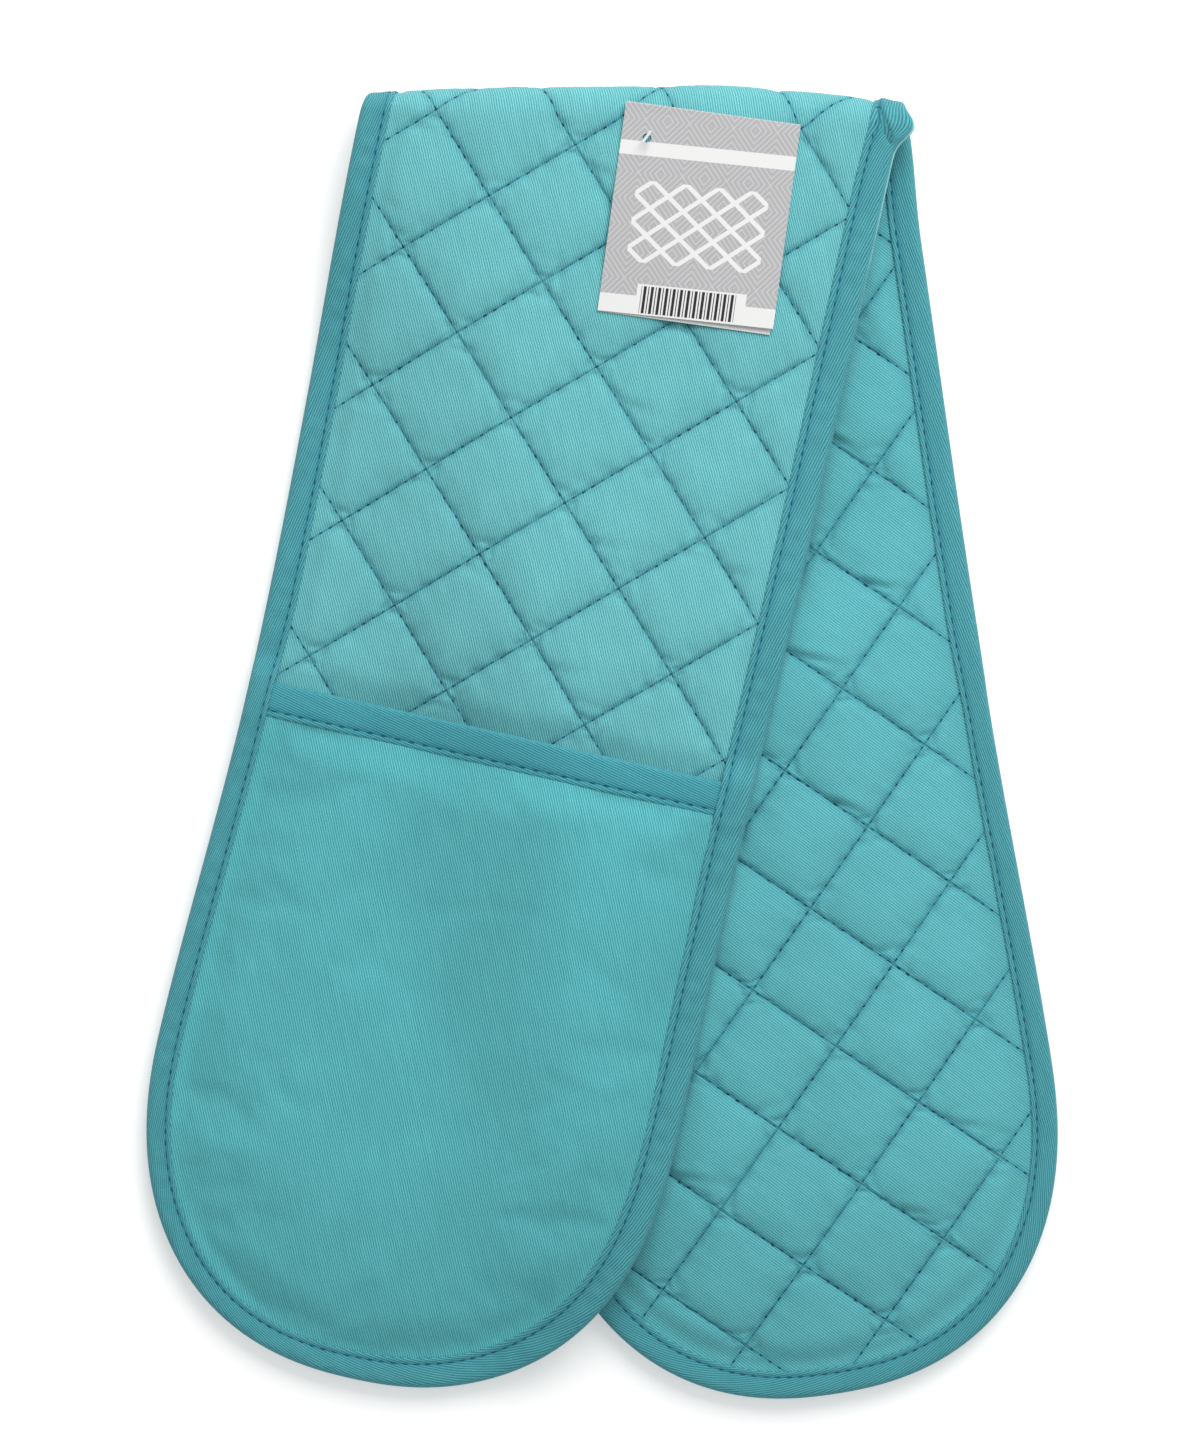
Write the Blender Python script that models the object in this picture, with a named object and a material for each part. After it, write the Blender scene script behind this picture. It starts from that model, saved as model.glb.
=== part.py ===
"""Double oven glove: one quilted strap with a hand pocket at each end, folded in half and laid flat.

The strap is laid out flat first. A point on it is given either as (along, across), measured on the
strap's own middle line from the fold, or as (cross, normal), measured along the fold line and
square to it. The strap crosses the fold line at a slant, so that the two halves fan apart. Heights
within the thickness are measured from the middle of the strap, and grow towards the pocket side.
"""

import math

import bmesh
import bpy
from mathutils import Matrix, Vector

# Outline of the strap
HALF_LENGTH = 0.4379
FOLD_WIDTH = 0.1752
WAIST_WIDTH = 0.1710
LOBE_WIDTH = 0.1756
LOBE_LENGTH = 0.1000
LOBE_EXPONENT = 2.3
LOBE_STEPS = 9
SIDE_STEPS = 4
FOLD_SLANT_DEG = 10.7

# Quilting lattice
DIAMOND_HALF_LENGTH = 0.02314
DIAMOND_HALF_WIDTH = 0.0236
LATTICE_TURN_DEG = 1.56
LATTICE_ALONG = 0.04705
LATTICE_ACROSS = 0.00722
CROWN = 0.0022
CROWN_EXPONENT = 0.6
CROWN_RUN = 0.014
SWELL_START = 0.0008

# Layers
COVER = 0.0004
CLEARANCE = 0.00025
EDGE_WADDING_HALF = 0.001
LINING = 0.0004
POCKET_WADDING = 0.0006
POCKET_PUFF = 0.0024
POCKET_PUFF_RUN = 0.012

# Bindings
BINDING_WIDTH = 0.0100
BINDING_WALL = 0.0008
HEM_WIDTH = 0.0115
HEM_WALL = 0.0006
TAPE_MARGIN = 0.0005
EDGE_ROUND_SHARE = 0.9

# Pockets
POCKET_LENGTH = 0.2199
ARCH = 0.0085
ARCH_RUN = 0.055
MOUTH_LIFT = 0.00085
MOUTH_RUN = 0.025
THICKENING_RUN = 0.015

# Fold and lie of the two halves
FOLD_RADIUS = 0.007
ROLL_SEGMENTS = 8
BODY_GAP = 0.0003
TABLE_GAP = 0.00035
BACK_RISE_RUN = 0.060
BACK_RISE_LEAD = 0.015
FRONT_RISE = 0.0046
FRONT_RISE_START = 0.080
FRONT_RISE_RUN = 0.100
DRAPE_INSIDE = 0.035
DRAPE_RUN = 0.070
DRAPE_FROM_FOLD = 0.090
FRONT_BOW = 0.0023
FRONT_BOW_RUN = 0.360
BACK_LEAN = 0.0015
BACK_LEAN_RUN = 0.035

# Swing tag and its pin
TAG_WIDTH = 0.058
TAG_LENGTH = 0.0686
TAG_REAR_LENGTH = 0.0700
CARD = 0.0004
CARD_GAP = 0.0003
TAG_TURN_DEG = 6.0
REAR_LEAF_TURN_DEG = 0.8
PIN_CROSS = 0.0037
PIN_FROM_FOLD = 0.0171
PIN_FROM_TOP = 0.0107
PIN_FROM_SIDE = 0.0084
PIN_RADIUS = 0.00045
PIN_HOLE_RADIUS = 0.0010
CARD_HOLE_RADIUS = 0.0015
PIN_SHOWING = 0.0042
PIN_HEAD_LENGTH = 0.0045
PIN_FOOT_LENGTH = 0.009
PIN_BAR_RADIUS = 0.0005
PIN_HEAD_TURN_DEG = 55.0
PIN_SIDES = 10

# Values that follow from these
SLANT = math.radians(FOLD_SLANT_DEG)
LATTICE_TURN = math.radians(LATTICE_TURN_DEG)
MOUTH = HALF_LENGTH - POCKET_LENGTH
HEM_LINE = MOUTH + HEM_WIDTH + TAPE_MARGIN
LOBE_START = HALF_LENGTH - LOBE_LENGTH
BORDER = BINDING_WIDTH + TAPE_MARGIN
QUARTER = FOLD_RADIUS * math.pi / 2
ROLL_STEP = 2 * QUARTER / ROLL_SEGMENTS
EDGE_HALF = EDGE_WADDING_HALF + CLEARANCE + COVER
POCKET_BASE = EDGE_HALF + CLEARANCE
POCKET_STACK = LINING + CLEARANCE + POCKET_WADDING + CLEARANCE + COVER
STRAP_REST = EDGE_HALF + CROWN + TABLE_GAP
POCKET_REST = POCKET_BASE + POCKET_STACK + POCKET_PUFF
FOLD_CENTRE = STRAP_REST + FOLD_RADIUS
FRONT_TOP = FOLD_CENTRE + FOLD_RADIUS
PIVOT_REACH = FOLD_RADIUS + EDGE_HALF + CROWN
TINY = FOLD_RADIUS * 1e-5

ROLL_LINES = [step * ROLL_STEP - QUARTER for step in range(ROLL_SEGMENTS + 1)]
BODY_LINES = ROLL_LINES[1::2]


def clamp(value):
    return min(1.0, max(0.0, value))


def smooth(value):
    share = clamp(value)
    return share * share * (3 - 2 * share)


def blend(first, last, share):
    return first + (last - first) * share


def to_fold(along, across):
    """(cross, normal) of a point of the strap."""
    return (
        across * math.cos(SLANT) - along * math.sin(SLANT),
        across * math.sin(SLANT) + along * math.cos(SLANT),
    )


def to_strap(cross, normal):
    """(along, across) of a point of the strap."""
    return (
        normal * math.cos(SLANT) - cross * math.sin(SLANT),
        cross * math.cos(SLANT) + normal * math.sin(SLANT),
    )


# Outline
def half_width(along):
    run = abs(along)
    if run < MOUTH:
        return blend(FOLD_WIDTH, WAIST_WIDTH, smooth(run / MOUTH)) / 2
    return blend(WAIST_WIDTH, LOBE_WIDTH, smooth((run - MOUTH) / (LOBE_START - MOUTH))) / 2


def quarter_outline(inset):
    """The edge from the fold to the tip, this far in, on the side where across is positive."""
    points = []
    for start, end in ((0.0, MOUTH), (MOUTH, LOBE_START)):
        for step in range(SIDE_STEPS):
            along = blend(start, end, step / SIDE_STEPS)
            points.append((along, half_width(along) - inset))
    for step in range(LOBE_STEPS):
        turn = math.pi / 2 * step / LOBE_STEPS
        along = LOBE_START + (LOBE_LENGTH - inset) * math.sin(turn) ** (2 / LOBE_EXPONENT)
        across = (LOBE_WIDTH / 2 - inset) * math.cos(turn) ** (2 / LOBE_EXPONENT)
        points.append((along, across))
    points.append((HALF_LENGTH - inset, 0.0))
    return points


def outline(inset):
    """The whole edge, this far in, once round."""
    quarter = quarter_outline(inset)
    loop = list(quarter)
    loop += [(along, -across) for along, across in reversed(quarter[:-1])]
    loop += [(-along, -across) for along, across in quarter[1:]]
    loop += [(-along, across) for along, across in reversed(quarter[1:-1])]
    return loop


def tape_distance(along, across):
    """How far a point lies inside the line where the layers start to swell."""
    run = abs(along)
    reach = half_width(along) - BORDER
    end = max(0.0, run - LOBE_START) / (LOBE_LENGTH - BORDER)
    side = abs(across) / reach
    ratio = (end**LOBE_EXPONENT + side**LOBE_EXPONENT) ** (1 / LOBE_EXPONENT)
    return max(0.0, reach * (1 - ratio) - SWELL_START)


# Heights of the layers
def lattice_position(along, across):
    """Where a point lies in the quilting: a whole first or second number is a row of stitches."""
    over_along = along - LATTICE_ALONG
    over_across = across - LATTICE_ACROSS
    turned_along = over_along * math.cos(LATTICE_TURN) - over_across * math.sin(LATTICE_TURN)
    turned_across = over_along * math.sin(LATTICE_TURN) + over_across * math.cos(LATTICE_TURN)
    rows = turned_along / DIAMOND_HALF_LENGTH
    columns = turned_across / DIAMOND_HALF_WIDTH
    return (rows + columns) / 2, (rows - columns) / 2


def crown(along, across):
    """How far the quilting swells, from nothing on a stitch line to its most mid-diamond."""
    first, second = lattice_position(along, across)
    swell = abs(math.sin(math.pi * first) * math.sin(math.pi * second)) ** CROWN_EXPONENT
    return CROWN * swell * smooth(tape_distance(along, across) / CROWN_RUN)


def arch(along, across):
    """How far the pocket stands off the strap."""
    return ARCH * math.sin(math.pi / 2 * clamp(tape_distance(along, across) / ARCH_RUN))


def puff(along, across):
    """How far the pocket's wadding swells."""
    inside = min(tape_distance(along, across), abs(along) - HEM_LINE)
    return POCKET_PUFF * smooth(inside / POCKET_PUFF_RUN)


def pocket_base(along, across):
    lift = MOUTH_LIFT * smooth(1 - (abs(along) - HEM_LINE) / MOUTH_RUN)
    return POCKET_BASE + lift + arch(along, across)


def cover_outside(along, across):
    return EDGE_HALF + crown(along, across)


def cover_inside(along, across):
    return EDGE_HALF - COVER + crown(along, across)


def wadding_face(along, across):
    return EDGE_WADDING_HALF + crown(along, across)


def opposite(height):
    return lambda along, across: -height(along, across)


def lining_outside(along, across):
    return pocket_base(along, across) + LINING


def pocket_wadding_inside(along, across):
    return lining_outside(along, across) + CLEARANCE


def pocket_wadding_outside(along, across):
    return pocket_wadding_inside(along, across) + POCKET_WADDING + puff(along, across)


def panel_inside(along, across):
    return pocket_wadding_outside(along, across) + CLEARANCE


def panel_outside(along, across):
    return panel_inside(along, across) + COVER


def binding_low(along, across):
    return -EDGE_HALF - CLEARANCE


def binding_high(along, across):
    thick = clamp((abs(along) - HEM_LINE + THICKENING_RUN) / THICKENING_RUN)
    lift = MOUTH_LIFT * smooth(1 - (abs(along) - HEM_LINE) / MOUTH_RUN)
    return EDGE_HALF + CLEARANCE + (CLEARANCE + POCKET_STACK + lift) * thick


def hem_low(along, across):
    return pocket_base(along, across) - CLEARANCE


def hem_high(along, across):
    return panel_outside(along, across) + CLEARANCE


# Lie of the strap
def sideways(normal):
    """How far the lying halves stray along the fold line, the front one in a bow."""
    run = max(0.0, abs(normal) - QUARTER)
    if normal < 0:
        return -BACK_LEAN * smooth(run / BACK_LEAN_RUN)
    return FRONT_BOW * math.sin(math.pi * clamp(run / FRONT_BOW_RUN)) ** 2


def back_height(cross, normal):
    """Height of the strap's middle where the back half lies over its own pocket."""
    along, across = to_strap(cross, normal)
    start = MOUTH - BACK_RISE_LEAD - BACK_RISE_RUN
    rise = smooth((abs(along) - start) / BACK_RISE_RUN)
    return STRAP_REST + (POCKET_REST - STRAP_REST + arch(along, across)) * rise


def front_height(cross, normal):
    """Height of the strap's middle where the front half lies on the back one and drapes beside it."""
    run = normal - QUARTER
    top = FRONT_TOP + FRONT_RISE * smooth((run - FRONT_RISE_START) / FRONT_RISE_RUN)
    over_back = cross + sideways(normal) - sideways(-normal)
    beyond = -to_strap(over_back, -normal)[1] - LOBE_WIDTH / 2
    drop = smooth((beyond + DRAPE_INSIDE) / DRAPE_RUN) * smooth(run / DRAPE_FROM_FOLD)
    return blend(top, STRAP_REST, drop)


def place(cross, normal, height, shift):
    """The point in space of a point of the folded strap."""
    if abs(normal) <= QUARTER:
        turn = normal / FOLD_RADIUS
        reach = FOLD_RADIUS + height
        return Vector((cross, shift + reach * math.cos(turn), FOLD_CENTRE + reach * math.sin(turn)))
    if normal > 0:
        level = front_height(cross, normal) + height
    else:
        level = back_height(cross, normal) - height
    return Vector((cross + sideways(normal), shift + QUARTER - abs(normal), level))


# Flat plan
def bisect(plan, point, direction):
    """Cuts every face of the plan along a line."""
    bmesh.ops.bisect_plane(
        plan,
        geom=plan.verts[:] + plan.edges[:] + plan.faces[:],
        dist=TINY,
        plane_co=(point[0], point[1], 0),
        plane_no=(-direction[1], direction[0], 0),
    )


def lattice_point(first, second):
    """The point of the strap, as (along, across), at this position in the quilting."""
    over_along = (first + second) * DIAMOND_HALF_LENGTH
    over_across = (first - second) * DIAMOND_HALF_WIDTH
    return (
        LATTICE_ALONG + over_along * math.cos(LATTICE_TURN) + over_across * math.sin(LATTICE_TURN),
        LATTICE_ACROSS - over_along * math.sin(LATTICE_TURN) + over_across * math.cos(LATTICE_TURN),
    )


def cut_quilting(plan):
    rows = math.ceil((HALF_LENGTH + LOBE_WIDTH) / (2 * DIAMOND_HALF_LENGTH))
    for row in range(-rows, rows + 1):
        for start, end in (((row, 0), (row, 1)), ((0, row), (1, row))):
            first = Vector(to_fold(*lattice_point(*start)))
            last = Vector(to_fold(*lattice_point(*end)))
            bisect(plan, first, last - first)


def cut_roll(plan):
    """Cuts along the fold, with a narrow gap wherever one body ends and the next begins."""
    for line in ROLL_LINES:
        if line in BODY_LINES:
            bisect(plan, (0, line - BODY_GAP / 2), (1, 0))
            bisect(plan, (0, line + BODY_GAP / 2), (1, 0))
        else:
            bisect(plan, (0, line), (1, 0))
    gaps = []
    for face in plan.faces:
        normal = face.calc_center_median().y
        if any(abs(normal - line) < BODY_GAP / 2 for line in BODY_LINES):
            gaps.append(face)
    bmesh.ops.delete(plan, geom=gaps, context="FACES")


def add_midpoints(plan):
    """Splits the edges that lie across diamonds, so that the quilting keeps its swell there."""
    crossing = []
    for edge in plan.edges:
        ends = [(vertex.co.x, vertex.co.y) for vertex in edge.verts]
        along_fold = abs(ends[0][1] - ends[1][1]) < TINY and abs(ends[0][1]) < QUARTER + TINY
        runs = [abs(to_strap(*end)[0]) for end in ends]
        at_mouth = max(abs(run - HEM_LINE) for run in runs) < TINY
        if along_fold or at_mouth:
            crossing.append(edge)
    for edge in crossing:
        bmesh.utils.edge_split(edge, edge.verts[0], 0.5)


def flat_plan(inner):
    """The strap inside its bindings, cut into diamonds and at the fold, as a flat mesh."""
    plan = bmesh.new()
    plan.faces.new([plan.verts.new((*to_fold(*point), 0)) for point in inner])
    cut_quilting(plan)
    for side in (-1, 1):
        point = Vector(to_fold(side * HEM_LINE, 0))
        bisect(plan, point, Vector(to_fold(side * HEM_LINE, 1)) - point)
    cut_roll(plan)
    add_midpoints(plan)
    return plan


def region(plan, low, high):
    """The cells of the plan between two lines along the fold, each a list of (cross, normal)."""
    cells = []
    for face in plan.faces:
        if low < face.calc_center_median().y < high:
            cells.append([(vertex.co.x, vertex.co.y) for vertex in face.verts])
    return cells


def key(point):
    return (round(point[0] / TINY), round(point[1] / TINY))


def boundary_chain(cells, belongs):
    """Boundary points for which belongs is true of both ends, in order, one list for each run."""
    seen = {}
    for cell in cells:
        for start, end in zip(cell, cell[1:] + cell[:1]):
            pair = frozenset((key(start), key(end)))
            seen.setdefault(pair, []).append((start, end))
    follows = {}
    for uses in seen.values():
        start, end = uses[0]
        if len(uses) == 1 and belongs(start, end):
            follows[key(start)] = (start, end)
    ends = {key(end) for start, end in follows.values()}
    chains = []
    for first in [name for name in follows if name not in ends]:
        chain = [follows[first][0]]
        while key(chain[-1]) in follows:
            chain.append(follows[key(chain[-1])][1])
        chains.append(chain)
    return chains


# Points of a layer
class Spot:
    """A point of a layer: where its height is read, and the one or two plan points it lies between."""

    def __init__(self, point, other=None, share=0.0):
        self.point = point
        self.other = other or point
        self.share = share

    def at(self, height, shift):
        first = place(*self.point, height, shift)
        return first.lerp(place(*self.other, height, shift), self.share)


def outer_point(point, inner, outer):
    """The point of the strap's edge beside a point of the binding's inner edge."""
    along, across = to_strap(*point)
    if abs(point[1]) <= QUARTER + TINY:
        return (point[0] + math.copysign(BORDER / math.cos(SLANT), across), point[1])
    here = Vector((along, across))
    best = None
    for number, start in enumerate(inner):
        following = (number + 1) % len(inner)
        step = Vector(inner[following]) - Vector(start)
        share = clamp((here - Vector(start)).dot(step) / step.length_squared)
        distance = (Vector(start) + step * share - here).length
        if best is None or distance < best[0]:
            best = (distance, Vector(outer[number]).lerp(Vector(outer[following]), share))
    return to_fold(*best[1])


def mouth_point(point):
    """The point of the pocket's mouth beside a point of its hem's inner edge."""
    along, across = to_strap(*point)
    return to_fold(math.copysign(MOUTH, along), across)


def stations(chain, partner):
    return [(point, partner(point)) for point in chain]


def on_edge(start, end):
    """Whether a boundary edge lies along the binding."""
    across_fold = abs(start[1] - end[1]) < TINY and abs(start[1]) < QUARTER
    return not across_fold and not on_hem_line(start, end)


def on_hem_line(start, end):
    runs = [abs(to_strap(*point)[0]) for point in (start, end)]
    return max(abs(run - HEM_LINE) for run in runs) < TINY


# Solids
def finish(mesh, name, colour, roughness):
    """Turns a closed mesh into a named object with its own material."""
    bmesh.ops.recalc_face_normals(mesh, faces=mesh.faces[:])
    data = bpy.data.meshes.new(name)
    mesh.to_mesh(data)
    mesh.free()
    data.shade_smooth()
    thing = bpy.data.objects.new(name, data)
    bpy.context.scene.collection.objects.link(thing)
    material = bpy.data.materials.new(name)
    material.use_nodes = True
    shader = material.node_tree.nodes["Principled BSDF"]
    shader.inputs["Base Color"].default_value = (*colour, 1)
    shader.inputs["Roughness"].default_value = roughness
    data.materials.append(material)
    return thing


def set_origin(pivot, *prefixes):
    """Puts the origin of every object of a body on the axis that the body turns about."""
    for thing in bpy.data.objects:
        if thing.name.startswith(prefixes):
            thing.data.transform(Matrix.Translation(-pivot))
            thing.location = pivot


def fold_axis(line, shift):
    """The point of the fold's outermost surface about which the strap bends at this line."""
    turn = line / FOLD_RADIUS
    return Vector((0, shift + PIVOT_REACH * math.cos(turn), FOLD_CENTRE + PIVOT_REACH * math.sin(turn)))


def triangles_of(cells, borders):
    """Spots and triangles that cover the cells and reach out over their sewn borders."""
    spots = []
    index = {}
    triangles = []

    def number(point):
        if key(point) not in index:
            index[key(point)] = len(spots)
            spots.append(Spot(point))
        return index[key(point)]

    for cell in cells:
        corners = [number(point) for point in cell]
        centre = len(spots)
        spots.append(Spot(tuple(sum(values) / len(cell) for values in zip(*cell))))
        triangles += [(start, end, centre) for start, end in zip(corners, corners[1:] + corners[:1])]
    for border, reach in borders:
        outer = []
        for point, partner in border:
            outer.append(len(spots))
            spots.append(Spot(point, partner, reach))
        inner = [number(point) for point, partner in border]
        for step in range(len(border) - 1):
            triangles.append((inner[step + 1], inner[step], outer[step + 1]))
            triangles.append((inner[step], outer[step], outer[step + 1]))
    return spots, triangles


def sheet(name, layout, low, high, shift, finish_as):
    """A closed layer between two heights over the same cells."""
    spots, triangles = layout
    mesh = bmesh.new()
    faces_of = []
    for height in (low, high):
        faces_of.append([mesh.verts.new(spot.at(height(*to_strap(*spot.point)), shift)) for spot in spots])
    bottom, top = faces_of
    edges = {}
    for triangle in triangles:
        mesh.faces.new([top[corner] for corner in triangle])
        mesh.faces.new([bottom[corner] for corner in reversed(triangle)])
        for start, end in zip(triangle, triangle[1:] + triangle[:1]):
            edges.setdefault(frozenset((start, end)), []).append((start, end))
    for uses in edges.values():
        if len(uses) == 1:
            start, end = uses[0]
            mesh.faces.new([top[end], top[start], bottom[start]])
            mesh.faces.new([top[end], bottom[start], bottom[end]])
    return finish(mesh, name, *finish_as)


def channel(name, border, width, margin, wall, low, high, shift, finish_as):
    """A tape folded round an edge: two legs and the web between them."""
    mesh = bmesh.new()
    rounding = wall * EDGE_ROUND_SHARE
    reach = width + margin
    rings = []
    for point, partner in border:
        under = low(*to_strap(*point))
        over = high(*to_strap(*point))
        profile = (
            (width, over + wall),
            (rounding, over + wall),
            (0.0, over + wall - rounding),
            (0.0, under - wall + rounding),
            (rounding, under - wall),
            (width, under - wall),
            (width, under),
            (wall, under),
            (wall, over),
            (width, over),
        )
        ring = []
        for inset, height in profile:
            ring.append(mesh.verts.new(Spot(point, partner, 1 - inset / reach).at(height, shift)))
        rings.append(ring)
    for ring, following in zip(rings, rings[1:]):
        for corner in range(len(ring)):
            beside = (corner + 1) % len(ring)
            if profile[corner][0] < profile[beside][0]:
                corner, beside = beside, corner
            mesh.faces.new([ring[corner], ring[beside], following[beside]])
            mesh.faces.new([ring[corner], following[beside], following[corner]])
    for ring in (rings[0], rings[-1]):
        for corners in ((0, 1, 8, 9), (1, 2, 8), (2, 3, 7, 8), (3, 4, 7), (4, 5, 6, 7)):
            mesh.faces.new([ring[corner] for corner in corners])
    return finish(mesh, name, *finish_as)


# Colours and roughness
TWILL = ((0.13, 0.40, 0.42), 0.85)
TAPE = ((0.10, 0.32, 0.36), 0.85)
FILL = ((0.82, 0.81, 0.77), 0.95)
COTTON_LINING = ((0.62, 0.60, 0.55), 0.9)
CARD_GREY = ((0.60, 0.60, 0.60), 0.7)
PLASTIC = ((0.85, 0.85, 0.82), 0.35)


# Strap
def strap_layers(prefix, layout, shift):
    """Reverse cover, wadding and inner cover of one stretch of the strap."""
    inside = opposite(cover_inside)
    outside = opposite(cover_outside)
    sheet(prefix + "_reverse_cover", layout, outside, inside, shift, TWILL)
    sheet(prefix + "_wadding", layout, opposite(wadding_face), wadding_face, shift, FILL)
    sheet(prefix + "_inner_cover", layout, cover_inside, cover_outside, shift, TWILL)


def side_borders(cells, inner, outer):
    """The runs of stations where the cells meet the binding."""
    chains = boundary_chain(cells, on_edge)
    return [stations(chain, lambda point: outer_point(point, inner, outer)) for chain in chains]


def binding(name, border, shift):
    channel(
        name, border, BINDING_WIDTH, TAPE_MARGIN, BINDING_WALL, binding_low, binding_high, shift, TAPE
    )


def edge_reach(wall, reach):
    """How far out a layer runs into a tape, as a share of the border."""
    return 1 - (wall + CLEARANCE) / reach


def fold_band(number, plan, inner, outer, shift):
    """One narrow stretch of the strap that bends at the fold."""
    low, high = BODY_LINES[number - 1], BODY_LINES[number]
    cells = region(plan, low, high)
    borders = side_borders(cells, inner, outer)
    reach = edge_reach(BINDING_WALL, BORDER)
    prefix = f"fold_{number}"
    strap_layers(prefix, triangles_of(cells, [(border, reach) for border in borders]), shift)
    for border in borders:
        side = "right" if border[0][0][0] > 0 else "left"
        binding(f"{prefix}_binding_{side}", border, shift)
    set_origin(fold_axis(low, shift), prefix)


# Pockets
def pocket(prefix, cells, inner, outer, shift):
    """Lining, wadding, panel and hem of one hand pocket."""
    cells = [cell for cell in cells if min(abs(to_strap(*point)[0]) for point in cell) > HEM_LINE - TINY]
    borders = []
    for border in side_borders(cells, inner, outer):
        borders.append((border, edge_reach(BINDING_WALL, BORDER)))
    for chain in boundary_chain(cells, on_hem_line):
        hem = stations(chain, mouth_point)
        borders.append((hem, edge_reach(HEM_WALL, HEM_LINE - MOUTH)))
    layout = triangles_of(cells, borders)
    sheet(prefix + "_pocket_lining", layout, pocket_base, lining_outside, shift, COTTON_LINING)
    sheet(prefix + "_pocket_wadding", layout, pocket_wadding_inside, pocket_wadding_outside, shift, FILL)
    sheet(prefix + "_pocket_panel", layout, panel_inside, panel_outside, shift, TWILL)
    channel(
        prefix + "_pocket_hem", hem, HEM_WIDTH, TAPE_MARGIN, HEM_WALL, hem_low, hem_high, shift, TAPE
    )


def half(prefix, plan, low, high, inner, outer, shift):
    """One half of the glove: its stretch of strap, its binding and its pocket."""
    cells = region(plan, low, high)
    borders = side_borders(cells, inner, outer)
    reach = edge_reach(BINDING_WALL, BORDER)
    strap_layers(prefix, triangles_of(cells, [(border, reach) for border in borders]), shift)
    binding(prefix + "_binding", borders[0], shift)
    pocket(prefix, cells, inner, outer, shift)


# Swing tag
def rod(radius, start, end):
    """A round bar from one point to another, as a closed mesh."""
    mesh = bmesh.new()
    run = end - start
    turn = run.to_track_quat("Z", "Y").to_matrix().to_4x4()
    bmesh.ops.create_cone(
        mesh,
        cap_ends=True,
        segments=PIN_SIDES,
        radius1=radius,
        radius2=radius,
        depth=run.length,
        matrix=Matrix.Translation((start + end) / 2) @ turn,
    )
    return mesh


def helper(name, mesh):
    """A hidden object that only shapes others."""
    thing = finish(mesh, name, *PLASTIC)
    thing.hide_render = True
    thing.display_type = "WIRE"
    return thing


def combine(thing, other, operation):
    modifier = thing.modifiers.new(other.name, "BOOLEAN")
    modifier.operation = operation
    modifier.solver = "EXACT"
    modifier.object = other


def card(name, origin, side, top, thickness_from, length, turn_deg):
    """A leaf of the tag. Its origin lies this far from its left side and its top."""
    mesh = bmesh.new()
    corners = []
    for height in (thickness_from, thickness_from + CARD):
        for cross, down in ((0, 0), (TAG_WIDTH, 0), (TAG_WIDTH, length), (0, length)):
            corners.append(mesh.verts.new((cross - side, top - down, height)))
    for face in ((0, 1, 2, 3), (4, 5, 6, 7), (0, 1, 5, 4), (1, 2, 6, 5), (2, 3, 7, 6), (3, 0, 4, 7)):
        mesh.faces.new([corners[corner] for corner in face])
    thing = finish(mesh, name, *CARD_GREY)
    thing.data.shade_flat()
    thing.location = origin
    thing.rotation_euler.z = -math.radians(turn_deg)
    return thing


def tag(shift):
    """Two leaves of card on a plastic pin that passes through the front half near the fold."""
    pin = Vector((PIN_CROSS, shift + PIVOT_REACH - PIN_FROM_FOLD, 0))
    rear_below = FRONT_TOP + EDGE_HALF + CROWN + CLEARANCE
    front_below = rear_below + CARD + CARD_GAP
    on_pin = pin + Vector((0, 0, rear_below))
    to_crease = Vector((TAG_WIDTH / 2 - PIN_FROM_SIDE, PIN_FROM_TOP, 0))
    to_crease.rotate(Matrix.Rotation(-math.radians(TAG_TURN_DEG), 3, "Z"))
    crease = pin + to_crease + Vector((0, 0, front_below - CARD_GAP / 2))
    rear_turn = TAG_TURN_DEG + REAR_LEAF_TURN_DEG
    leaves = [
        card("tag_rear_leaf", on_pin, PIN_FROM_SIDE, PIN_FROM_TOP, 0, TAG_REAR_LENGTH, rear_turn),
        card("tag_front_leaf", crease, TAG_WIDTH / 2, 0, CARD_GAP / 2, TAG_LENGTH, TAG_TURN_DEG),
    ]

    foot = FRONT_TOP - EDGE_HALF - CROWN - CLEARANCE - PIN_BAR_RADIUS
    head = front_below + CARD + PIN_SHOWING
    shaft = finish(
        rod(PIN_RADIUS, pin + Vector((0, 0, foot)), pin + Vector((0, 0, head))), "tag_pin", *PLASTIC
    )
    across = Vector((PIN_FOOT_LENGTH / 2, 0, 0))
    middle = pin + Vector((0, 0, foot))
    combine(shaft, helper("pin_foot", rod(PIN_BAR_RADIUS, middle - across, middle + across)), "UNION")
    lean = math.radians(PIN_HEAD_TURN_DEG)
    reach = Vector((math.cos(lean), math.sin(lean), 0)) * PIN_HEAD_LENGTH / 2
    middle = pin + Vector((0, 0, head))
    combine(shaft, helper("pin_head", rod(PIN_BAR_RADIUS, middle - reach, middle + reach)), "UNION")

    base = pin + Vector((0, 0, foot - PIN_BAR_RADIUS))
    top = pin + Vector((0, 0, head))
    needle_hole = helper("needle_hole", rod(PIN_HOLE_RADIUS, base, top))
    for layer in ("front_reverse_cover", "front_wadding", "front_inner_cover"):
        combine(bpy.data.objects[layer], needle_hole, "DIFFERENCE")
    card_hole = helper("card_hole", rod(CARD_HOLE_RADIUS, base, top))
    for leaf in leaves:
        combine(leaf, card_hole, "DIFFERENCE")


# Whole glove
def centring_shift(plan, outer):
    """How far to move the glove along the table so that its middle is at the origin."""
    reaches = [FOLD_RADIUS + EDGE_HALF + CLEARANCE + BINDING_WALL]
    for vertex in plan.verts:
        if abs(vertex.co.y) < TINY:
            reaches.append(FOLD_RADIUS + cover_outside(*to_strap(vertex.co.x, vertex.co.y)))
    tip = max(to_fold(*point)[1] for point in outer) - QUARTER
    return (tip - max(reaches)) / 2


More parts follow.
